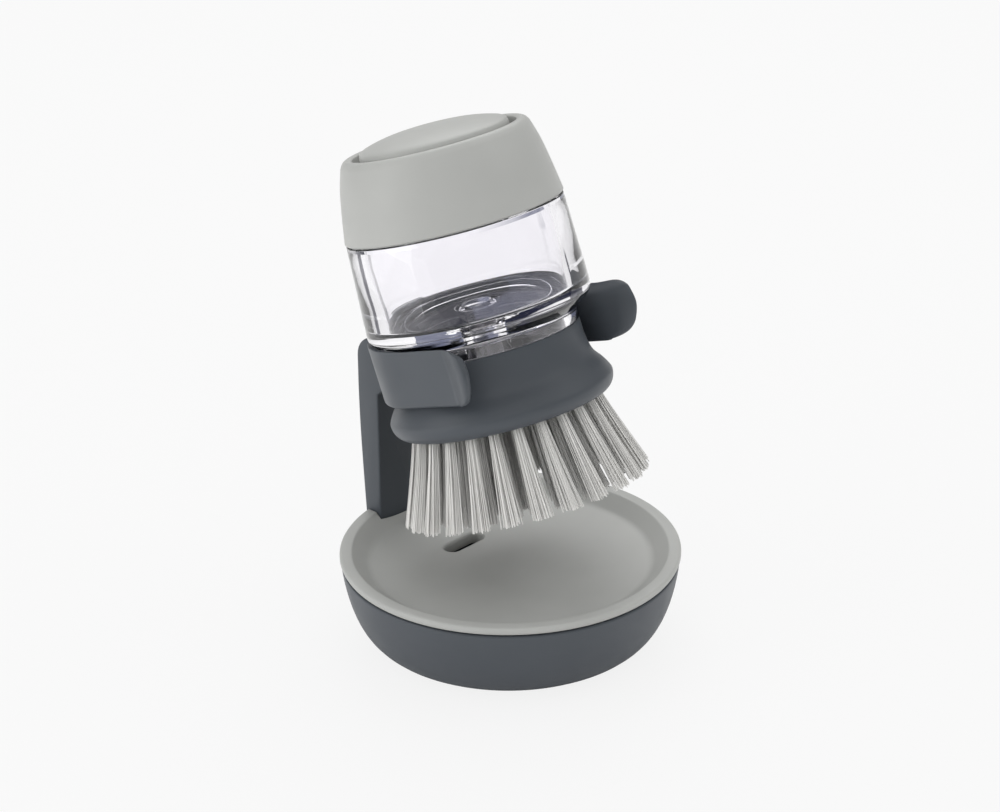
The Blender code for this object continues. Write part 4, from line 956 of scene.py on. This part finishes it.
class DISHBRUSH_OT_head(Operator):
    """Flared head with its socket, the dark backing of the tufts and the valve's seat"""
    bl_idname = "dish_brush.head"
    bl_label = "Head"

    def execute(self, context):
        top = -context.scene.dish_brush_brush.head_top / MM
        foot = top - context.scene.dish_brush_brush.head_length / MM
        side = flowing(HEAD_SIDE)
        outline = [(27.05, top, 0.1), (27.35, top - 0.3, 0.1)] + side[2:]
        outline += [(28.5, foot, 0.2), (28.5, -53.7), (25.9, -53.7), (25.9, -48.3), (22.0, -48.3),
                    (22.0, -53.7), (20.4, -53.7), (20.4, -48.3), (10.3, -48.3), (10.3, -53.7), (8.7, -53.7),
                    (8.7, foot, 0.3), (6.5, foot, 0.3), (6.5, -53.0), (4.2, -53.0), (4.2, -45.8),
                    (25.2, -45.8), (25.2, -41.7), (26.1, -41.7), (26.1, -39.5), (25.2, -39.5),
                    (25.2, top, 0.2)]
        head = turned("head_shell", mm(rounded(outline, closed=True)), BRUSH_STEPS)
        entries = sectors("lug_entries", LOCK_ANGLE, ENTRY_HALF_ANGLE, 24.9, 26.1, -41.0, top + 1.0)
        combined(head, entries, "DIFFERENCE")
        dressed(smooth(placed(head)), "dark", "head", "brush_head")
        for name, outer, inner in BACKINGS:
            ring = [(inner, foot, 0.2), (outer, foot, 0.2), (outer, foot + 4.0), (inner, foot + 4.0)]
            backing = turned(name, mm(rounded(ring, closed=True)), BRUSH_STEPS)
            dressed(smooth(placed(backing)), "dark", "head")
        return {"FINISHED"}


def bristle_tree():
    """Geometry Nodes that set rings of tufts, each strand curving outwards from its hole."""
    tree = bpy.data.node_groups.new("tufted_ring", "GeometryNodeTree")
    kinds = {"Tufts": "Int", "Filaments": "Int", "Seed": "Int", "Material": "Material"}
    for name in ("Tufts", "Filaments", "First Turn", "Ring Radius", "Hole Radius", "Splay", "Tip Depth",
                 "Tip Spread", "Root Level", "Tip Level", "Unevenness", "Filament Radius", "Darkest",
                 "Brightest", "Seed", "Material"):
        tree.interface.new_socket(name, in_out="INPUT", socket_type="NodeSocket" + kinds.get(name, "Float"))
    tree.interface.new_socket("Geometry", in_out="OUTPUT", socket_type="NodeSocketGeometry")
    given = add(tree, "NodeGroupInput")

    filaments = (given, "Filaments")
    index = add(tree, "GeometryNodeInputIndex")
    tuft = add(tree, "ShaderNodeMath", (index, 0.5), operation="ADD")
    tuft = add(tree, "ShaderNodeMath", (tuft, filaments), operation="DIVIDE")
    tuft = add(tree, "ShaderNodeMath", (tuft,), operation="FLOOR")
    first = add(tree, "ShaderNodeMath", (tuft, filaments), operation="MULTIPLY")
    place = add(tree, "ShaderNodeMath", (index, first), operation="SUBTRACT")
    turn = add(tree, "ShaderNodeMath", (tuft, (given, "First Turn")), operation="ADD")
    turn = add(tree, "ShaderNodeMath", (turn, math.tau), operation="MULTIPLY")
    turn = add(tree, "ShaderNodeMath", (turn, (given, "Tufts")), operation="DIVIDE")

    chances = []
    for offset, (low, high) in enumerate(STRAND_CHANCES, 1):
        seed = add(tree, "ShaderNodeMath", ((given, "Seed"), offset), operation="ADD")
        chance = add(tree, "FunctionNodeRandomValue", {"Seed": seed, 2: low, 3: high}, data_type="FLOAT")
        chances.append((chance, 1))
    twist, out_stray, side_stray, shortness, paleness = chances

    # Filaments fill the hole as seeds fill a sunflower, each a little off its place.
    reach = add(tree, "ShaderNodeMath", (place, 0.5), operation="ADD")
    reach = add(tree, "ShaderNodeMath", (reach, filaments), operation="DIVIDE")
    reach = add(tree, "ShaderNodeMath", (reach,), operation="SQRT")
    swirl = add(tree, "ShaderNodeMath", (place, SUNFLOWER_TURN), operation="MULTIPLY")
    swirl = add(tree, "ShaderNodeMath", (swirl, twist), operation="ADD")
    deep = add(tree, "ShaderNodeMath", (swirl,), operation="COSINE")
    deep = add(tree, "ShaderNodeMath", (reach, deep), operation="MULTIPLY")
    wide = add(tree, "ShaderNodeMath", (swirl,), operation="SINE")
    wide = add(tree, "ShaderNodeMath", (reach, wide), operation="MULTIPLY")
    root_out = add(tree, "ShaderNodeMath", (deep, (given, "Hole Radius"), (given, "Ring Radius")),
                   operation="MULTIPLY_ADD")
    root_across = add(tree, "ShaderNodeMath", (wide, (given, "Hole Radius")), operation="MULTIPLY")
    root = add(tree, "ShaderNodeCombineXYZ", (root_out, root_across, (given, "Root Level")))
    splay = add(tree, "ShaderNodeMath", ((given, "Splay"), out_stray), operation="ADD")
    tip_out = add(tree, "ShaderNodeMath", (deep, (given, "Tip Depth"), (given, "Ring Radius")),
                  operation="MULTIPLY_ADD")
    tip_out = add(tree, "ShaderNodeMath", (tip_out, splay), operation="ADD")
    tip_across = add(tree, "ShaderNodeMath", (wide, (given, "Tip Spread"), side_stray),
                     operation="MULTIPLY_ADD")
    short = add(tree, "ShaderNodeMath", (shortness, 2.0), operation="POWER")
    tip_level = add(tree, "ShaderNodeMath", (short, (given, "Unevenness"), (given, "Tip Level")),
                    operation="MULTIPLY_ADD")
    tip = add(tree, "ShaderNodeCombineXYZ", (tip_out, tip_across, tip_level))
    # Each strand's shade, at random between its ring's darkest and brightest; the lower range of the middle
    # and inner rings is painted shade.
    shade = add(tree, "ShaderNodeMapRange", {"Value": paleness, "To Min": (given, "Darkest"),
                                             "To Max": (given, "Brightest")})

    # Each strand starts as a point that keeps what belongs to it.
    count = add(tree, "ShaderNodeMath", ((given, "Tufts"), filaments), operation="MULTIPLY")
    points = add(tree, "GeometryNodePoints", {"Count": count})
    for name, kind, value in (("root", "FLOAT_VECTOR", root), ("tip", "FLOAT_VECTOR", tip),
                              ("turn", "FLOAT", turn), ("shade", "FLOAT", shade)):
        points = add(tree, "GeometryNodeStoreNamedAttribute", {"Geometry": points, "Value": value},
                     data_type=kind, domain="POINT", Name=name)
    line = add(tree, "GeometryNodeCurvePrimitiveLine", End=(0.0, 0.0, 1.0))
    line = add(tree, "GeometryNodeResampleCurve", {"Curve": line}, Count=STRAND_SEGMENTS + 1)
    line = add(tree, "GeometryNodeStoreNamedAttribute",
               {"Geometry": line, "Value": (add(tree, "GeometryNodeSplineParameter"), "Factor")},
               data_type="FLOAT", domain="POINT", Name="along")
    strands = add(tree, "GeometryNodeInstanceOnPoints", {"Points": points, "Instance": line})
    strands = add(tree, "GeometryNodeRealizeInstances", {"Geometry": strands})

    ends = []
    for name in ("root", "tip"):
        end = add(tree, "GeometryNodeInputNamedAttribute", data_type="FLOAT_VECTOR", Name=name)
        ends.append(add(tree, "ShaderNodeSeparateXYZ", {"Vector": (end, "Attribute")}))
    root, tip = ends
    along = (add(tree, "GeometryNodeInputNamedAttribute", data_type="FLOAT", Name="along"), "Attribute")
    turn = (add(tree, "GeometryNodeInputNamedAttribute", data_type="FLOAT", Name="turn"), "Attribute")
    # A strand leaves its hole straight and leans out more and more towards its tip.
    lean = add(tree, "ShaderNodeMath", (along, STRAND_LEAN_POWER), operation="POWER")
    bent = []
    for axis, share in (("X", lean), ("Y", lean), ("Z", along)):
        span = add(tree, "ShaderNodeMath", ((tip, axis), (root, axis)), operation="SUBTRACT")
        bent.append(add(tree, "ShaderNodeMath", (span, share, (root, axis)), operation="MULTIPLY_ADD"))
    position = add(tree, "ShaderNodeCombineXYZ", bent)
    position = add(tree, "ShaderNodeVectorRotate", {"Vector": position, "Angle": turn},
                   rotation_type="Z_AXIS")
    strands = add(tree, "GeometryNodeSetPosition", {"Geometry": strands, "Position": position})
    section = add(tree, "GeometryNodeCurvePrimitiveCircle", {"Radius": (given, "Filament Radius")},
                  Resolution=STRAND_SIDES)
    mesh = add(tree, "GeometryNodeCurveToMesh", {"Curve": strands, "Profile Curve": section},
               **{"Fill Caps": True})
    for name in ("root", "tip", "turn", "along"):
        mesh = add(tree, "GeometryNodeRemoveAttribute", {"Geometry": mesh}, Name=name)
    mesh = add(tree, "GeometryNodeRealizeInstances", {"Geometry": mesh})
    mesh = add(tree, "GeometryNodeSetMaterial", {"Geometry": mesh, "Material": (given, "Material")})
    add(tree, "NodeGroupOutput", {"Geometry": mesh})
    return tree


class DISHBRUSH_OT_bristles(Operator):
    """Three rings of nylon tufts, thick at the rim and finer inside"""
    bl_idname = "dish_brush.bristles"
    bl_label = "Bristles"

    def execute(self, context):
        sizes = context.scene.dish_brush_bristles
        brush = context.scene.dish_brush_brush
        foot = -brush.head_top - brush.head_length
        tree = bristle_tree()
        sockets = {item.name: item.identifier for item in tree.interface.items_tree if item.in_out == "INPUT"}
        numbers = {"outer": (sizes.outer_tufts, sizes.outer_filaments),
                   "middle": (sizes.outer_tufts, sizes.inner_filaments),
                   "inner": (sizes.inner_tufts, sizes.inner_filaments)}
        # The middle and inner rings' darker shades are painted shade.
        for order, (ring, radius, splay, spread, dark, bright) in enumerate(TUFT_RINGS):
            item = linked(bpy.data.meshes.new("tufts_" + ring), "tufts_" + ring)
            modifier = item.modifiers.new("Tufts", "NODES")
            modifier.node_group = tree
            tufts, filaments = numbers[ring]
            values = {"Tufts": tufts, "Filaments": filaments, "First Turn": 0.5, "Ring Radius": radius * MM,
                      "Hole Radius": sizes.hole_radius, "Splay": splay * MM,
                      "Tip Depth": sizes.tip_depth * spread, "Tip Spread": sizes.tip_spread * spread,
                      "Root Level": foot + ROOT_DEPTH, "Tip Level": foot - sizes.bristle_length,
                      "Unevenness": sizes.unevenness, "Filament Radius": sizes.filament,
                      "Darkest": dark, "Brightest": bright, "Seed": sizes.seed + SEED_STRIDE * order,
                      "Material": finish("bristle")}
            for socket, value in values.items():
                modifier[sockets[socket]] = value
            applied(item)
            if not item.data.polygons:
                raise RuntimeError("The tree of tufts made no strands.")
            item.data.shade_smooth()
            dressed(placed(item), "bristle", "head", "bristles_" + ring)
        return {"FINISHED"}


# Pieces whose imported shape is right, in new materials

INNER_PIECES = {
    "foot_pad": "rubber", "stand_screw_left": "steel", "stand_screw_right": "steel",
    "diaphragm_plate": "white", "cap_gasket": "silicone", "head_gasket": "silicone",
    "outlet_gasket": "silicone", "slit_valve": "silicone", "valve_retainer": "dark",
}
# The two that the button squeezes against the plate under it
SQUEEZED_PIECES = {"button_spring": "steel", "air_diaphragm": "silicone"}


class DISHBRUSH_OT_inner_pieces(Operator):
    """Finishes of the seals, the spring, the valve, the screws and the pad"""
    bl_idname = "dish_brush.inner_pieces"
    bl_label = "Inner pieces"

    def execute(self, context):
        for name, slot in INNER_PIECES.items():
            node = frame["nodes"][name]
            for place in node.material_slots:
                place.material = finish(slot)
        for name, slot in SQUEEZED_PIECES.items():
            self.squeezed(frame["nodes"][name], "pressed_" + name, slot)
        return {"FINISHED"}

    @staticmethod
    def squeezed(node, name, slot):
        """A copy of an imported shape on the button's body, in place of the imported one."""
        mesh = node.data.copy()
        mesh.transform(node.matrix_world)
        item = linked(mesh, name)
        dressed(item, slot, "button", node.name)
        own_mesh(item)


# Stage

class StageSettings(PropertyGroup):
    """Light, floor and camera."""
    key_power: amount("Key power", "Power of the soft light at the left", 2.3, unit="POWER")
    back_power: amount("Back power", "Power of the soft light behind and above", 3.2, unit="POWER")
    front_power: amount("Front power", "Power of the soft light over the camera", 0.9, unit="POWER")
    side_power: amount("Side power", "Power of the soft light at the right", 1.0, unit="POWER")
    sky: amount("Sky", "Strength of the even light from all round", 0.72)
    reflected_sky: amount("Reflected sky", "The same where a glossy surface reflects it", 0.22)
    backdrop: tint("Backdrop", "What the camera sees behind the object", "F9F9F9")
    glow: tint("Floor glow", "What the camera sees of the floor beside its shadows", "F8F8F8")
    shadow: amount("Shadow", "How strongly the floor shows shadows", 0.09, max=1.0)
    azimuth: degrees("Azimuth", "Turn of the camera round the object", -46.0)
    elevation: degrees("Elevation", "Height of the camera over the horizon", 25.0)
    roll: degrees("Roll", "Turn of the camera about its view", 0.95)
    distance: length("Distance", "From the camera to its target", 947.0)
    lens: amount("Lens", "Focal length", 118.8, 1.0, unit="CAMERA")


LAMP_SIZE = 0.7
LAMP_TARGET = (0.0, 0.0, 0.07)
# Turns from the camera's line of sight, in degrees, where a dark card begins, with its colour, or where the
# backdrop shows again. The cards are painted reflections, seen only through clear plastic. The near ones
# edge its walls, and its floor mirrors the far ones.
NEAR_PAINTED_REFLECTIONS = ((-50.0, "65656E"), (-40.0, None), (46.0, "65656E"), (48.5, None))
FAR_PAINTED_REFLECTIONS = ((-60.0, "1A1E34"), (-5.0, "74788C"), (20.0, None))
# Painted light: the backdrop is drawn this much brighter behind clear plastic, to make up for the light that
# its faces lose
PAINTED_GLOW_BEHIND_PLASTIC = 1.06
PAINTED_REFLECTIONS_REACH = (0.30, 0.36)    # how far out the far painted reflections begin to replace the near ones
CAMERA_TARGET = (-0.0016, 0.0017, 0.0737)
SENSOR_WIDTH = 36.0             # millimetres
NEAREST_SEEN = 0.01
FLOOR_REACH = 6.0
FLOOR_DEPTH = 0.02


def lit_by(name, place, power):
    """A large square soft light that looks at the object."""
    light = bpy.data.lights.new(name, "AREA")
    light.size = LAMP_SIZE
    light.energy = power
    lamp = bpy.data.objects.new(name, light)
    lamp.location = place
    lamp.rotation_euler = (Vector(LAMP_TARGET) - Vector(place)).to_track_quat("-Z", "Y").to_euler()
    bpy.context.scene.collection.objects.link(lamp)
    return lamp


def directly(tree):
    """One for what is seen directly or through clear plastic, and zero for light that falls on things."""
    path = add(tree, "ShaderNodeLightPath")
    return add(tree, "ShaderNodeMath", {0: (path, "Is Camera Ray"), 1: (path, "Is Transmission Ray")},
               operation="MAXIMUM")


def painted_reflections_round(tree, azimuth, backdrop, painted_reflections):
    """Colour of the backdrop by the turn from the line of sight, with the dark cards of painted reflections
    before it.
    """
    place = add(tree, "ShaderNodeTexCoord")
    sides = []
    for x, y in ((math.cos(azimuth), math.sin(azimuth)), (-math.sin(azimuth), math.cos(azimuth))):
        side = add(tree, "ShaderNodeVectorMath", {0: (place, "Object")}, operation="DOT_PRODUCT")
        side.inputs[1].default_value = (x, y, 0.0)
        sides.append((side, "Value"))
    turn = add(tree, "ShaderNodeMath", dict(enumerate(sides)), operation="ARCTAN2")
    share = add(tree, "ShaderNodeMapRange", {"Value": (turn, "Value")}, **{
        "From Min": -math.pi, "From Max": math.pi})
    ramp = add(tree, "ShaderNodeValToRGB", {"Fac": (share, "Result")})
    ramp.color_ramp.interpolation = "CONSTANT"
    # Painted light: the backdrop seen through clear plastic is drawn brighter than it is.
    behind = (*(value * PAINTED_GLOW_BEHIND_PLASTIC for value in backdrop), 1.0)
    for element in ramp.color_ramp.elements:
        element.color = behind
    for start, code in painted_reflections:
        colour = behind if code is None else (*linear(code), 1.0)
        ramp.color_ramp.elements.new(0.5 + start / 360.0).color = colour
    return ramp, "Color"


def seen_by(tree, path, backdrop, through):
    """The backdrop's colour for the camera, and the painted reflections beside it for a look through clear
    plastic.
    """
    colour = add(tree, "ShaderNodeMix", {"Factor": (path, "Is Camera Ray"), 6: through}, data_type="RGBA")
    colour.inputs[7].default_value = (*backdrop, 1.0)
    return colour, 2


class DISHBRUSH_OT_stage(Operator):
    """Pale backdrop, floor, lights and the camera of the product view"""
    bl_idname = "dish_brush.stage"
    bl_label = "Stage"

    def execute(self, context):
        settings = context.scene.dish_brush_stage
        self.backdrop(context, settings)
        self.floor(settings)
        lit_by("key_light", (-0.76, 0.37, 0.30), settings.key_power)
        lit_by("back_light", (0.43, 0.42, 0.75), settings.back_power)
        lit_by("front_light", (-0.43, -0.42, 0.75), settings.front_power)
        lit_by("side_light", (0.42, -0.43, 0.75), settings.side_power)
        self.camera(context, settings)
        context.scene.view_settings.view_transform = "Standard"
        return {"FINISHED"}

    @staticmethod
    def backdrop(context, settings):
        """World of even light that the camera sees as the pale backdrop."""
        world = bpy.data.worlds.new("pale_room")
        world.use_nodes = True
        tree = world.node_tree
        tree.nodes.clear()
        path = add(tree, "ShaderNodeLightPath")
        strength = add(tree, "ShaderNodeMapRange", {"Value": (path, "Is Glossy Ray")}, **{
            "To Min": settings.sky, "To Max": settings.reflected_sky})
        light = add(tree, "ShaderNodeBackground", {"Strength": (strength, "Result")})
        light.inputs["Color"].default_value = (1.0, 1.0, 1.0, 1.0)
        # Through clear plastic the world shows the far dark cards, which are painted reflections.
        painted_reflections = painted_reflections_round(tree, settings.azimuth, settings.backdrop, FAR_PAINTED_REFLECTIONS)
        seen = add(tree, "ShaderNodeBackground", {"Color": seen_by(tree, path, settings.backdrop, painted_reflections)})
        mixed = add(tree, "ShaderNodeMixShader", {0: (directly(tree), 0), 1: (light, 0), 2: (seen, 0)})
        output = add(tree, "ShaderNodeOutputWorld")
        tree.links.new(mixed.outputs[0], output.inputs["Surface"])
        context.scene.world = world

    @staticmethod
    def floor(settings):
        """Worktop that melts into the backdrop and keeps the object's soft shadow."""
        floor = block("worktop", (-FLOOR_REACH, -FLOOR_REACH, -FLOOR_DEPTH), (FLOOR_REACH, FLOOR_REACH, 0.0))
        material, tree, shader = new_material("pale_worktop")
        colour = (*bpy.context.scene.dish_brush_finishes.floor, 1.0)
        wired(tree, shader, **{"Base Color": colour, "Roughness": 0.6, "Specular IOR Level": 0.2})
        # Through clear plastic the floor shows painted reflections: the near dark cards close by, the far
        # ones further out.
        place = add(tree, "ShaderNodeTexCoord")
        away = add(tree, "ShaderNodeVectorMath", {0: (place, "Object")}, operation="LENGTH")
        far = add(tree, "ShaderNodeMapRange", {"Value": (away, "Value")}, **{
            "From Min": PAINTED_REFLECTIONS_REACH[0], "From Max": PAINTED_REFLECTIONS_REACH[1]})
        painted_reflections = add(tree, "ShaderNodeMix", {
            "Factor": (far, "Result"), 6: painted_reflections_round(tree, settings.azimuth, settings.glow, NEAR_PAINTED_REFLECTIONS),
            7: painted_reflections_round(tree, settings.azimuth, settings.glow, FAR_PAINTED_REFLECTIONS)}, data_type="RGBA")
        path = add(tree, "ShaderNodeLightPath")
        glow = add(tree, "ShaderNodeEmission", {"Color": seen_by(tree, path, settings.glow, (painted_reflections, 2))})
        unshaded = add(tree, "ShaderNodeMath", {0: (path, "Is Camera Ray")}, operation="MULTIPLY")
        unshaded.inputs[1].default_value = 1.0 - settings.shadow
        share = add(tree, "ShaderNodeMath", {0: (unshaded, "Value"), 1: (path, "Is Transmission Ray")},
                    operation="MAXIMUM")
        mixed = add(tree, "ShaderNodeMixShader", {0: (share, 0), 1: (shader, 0), 2: (glow, 0)})
        tree.links.new(mixed.outputs[0], tree.nodes["Material Output"].inputs["Surface"])
        floor.data.materials.append(material)

    @staticmethod
    def camera(context, settings):
        """Camera from which the photograph's view is seen."""
        data = bpy.data.cameras.new("product_camera")
        data.lens = settings.lens
        data.sensor_width = SENSOR_WIDTH
        data.clip_start = NEAREST_SEEN
        camera = bpy.data.objects.new("product_camera", data)
        flat = math.cos(settings.elevation)
        back = Vector((math.sin(settings.azimuth) * flat, -math.cos(settings.azimuth) * flat,
                       math.sin(settings.elevation)))
        right = Vector((0.0, 0.0, 1.0)).cross(back).normalized()
        turn = Matrix((right, back.cross(right), back)).transposed().to_4x4()
        place = Matrix.Translation(Vector(CAMERA_TARGET) + settings.distance * back)
        camera.matrix_world = place @ turn @ Matrix.Rotation(-settings.roll, 4, "Z")
        context.scene.collection.objects.link(camera)
        context.scene.camera = camera


# Add-on

class DISHBRUSH_PT_panel(Panel):
    """Sizes, colours and steps of the dish brush"""
    bl_label = "Dish brush"
    bl_idname = "DISHBRUSH_PT_panel"
    bl_space_type = "VIEW_3D"
    bl_region_type = "UI"
    bl_category = "Dish brush"

    def draw(self, context):
        for group in POINTERS:
            box = self.layout.box()
            settings = getattr(context.scene, group)
            for name in settings.bl_rna.properties.keys():
                if name not in ("rna_type", "name"):
                    box.prop(settings, name)
        for operator in OPERATORS:
            self.layout.operator(operator.bl_idname)


POINTERS = {
    "dish_brush_dish": DishSizes, "dish_brush_brush": BrushSizes, "dish_brush_bristles": BristleSizes,
    "dish_brush_stand": StandSizes, "dish_brush_finishes": Finishes, "dish_brush_stage": StageSettings,
}
OPERATORS = (DISHBRUSH_OT_bowl, DISHBRUSH_OT_tray, DISHBRUSH_OT_stand, DISHBRUSH_OT_reservoir,
             DISHBRUSH_OT_cap, DISHBRUSH_OT_head, DISHBRUSH_OT_bristles, DISHBRUSH_OT_inner_pieces,
             DISHBRUSH_OT_stage)


def register():
    for group in POINTERS.values():
        bpy.utils.register_class(group)
    for operator in OPERATORS:
        bpy.utils.register_class(operator)
    bpy.utils.register_class(DISHBRUSH_PT_panel)
    for name, group in POINTERS.items():
        setattr(bpy.types.Scene, name, PointerProperty(type=group))


def unregister():
    for name in POINTERS:
        delattr(bpy.types.Scene, name)
    bpy.utils.unregister_class(DISHBRUSH_PT_panel)
    for item in (*OPERATORS, *POINTERS.values()):
        bpy.utils.unregister_class(item)


def main():
    """Make the whole scene."""
    register()
    bpy.ops.dish_brush.bowl()
    bpy.ops.dish_brush.tray()
    bpy.ops.dish_brush.stand()
    bpy.ops.dish_brush.reservoir()
    bpy.ops.dish_brush.cap()
    bpy.ops.dish_brush.head()
    bpy.ops.dish_brush.bristles()
    bpy.ops.dish_brush.inner_pieces()
    bpy.ops.dish_brush.stage()


if __name__ == "__main__":
    main()
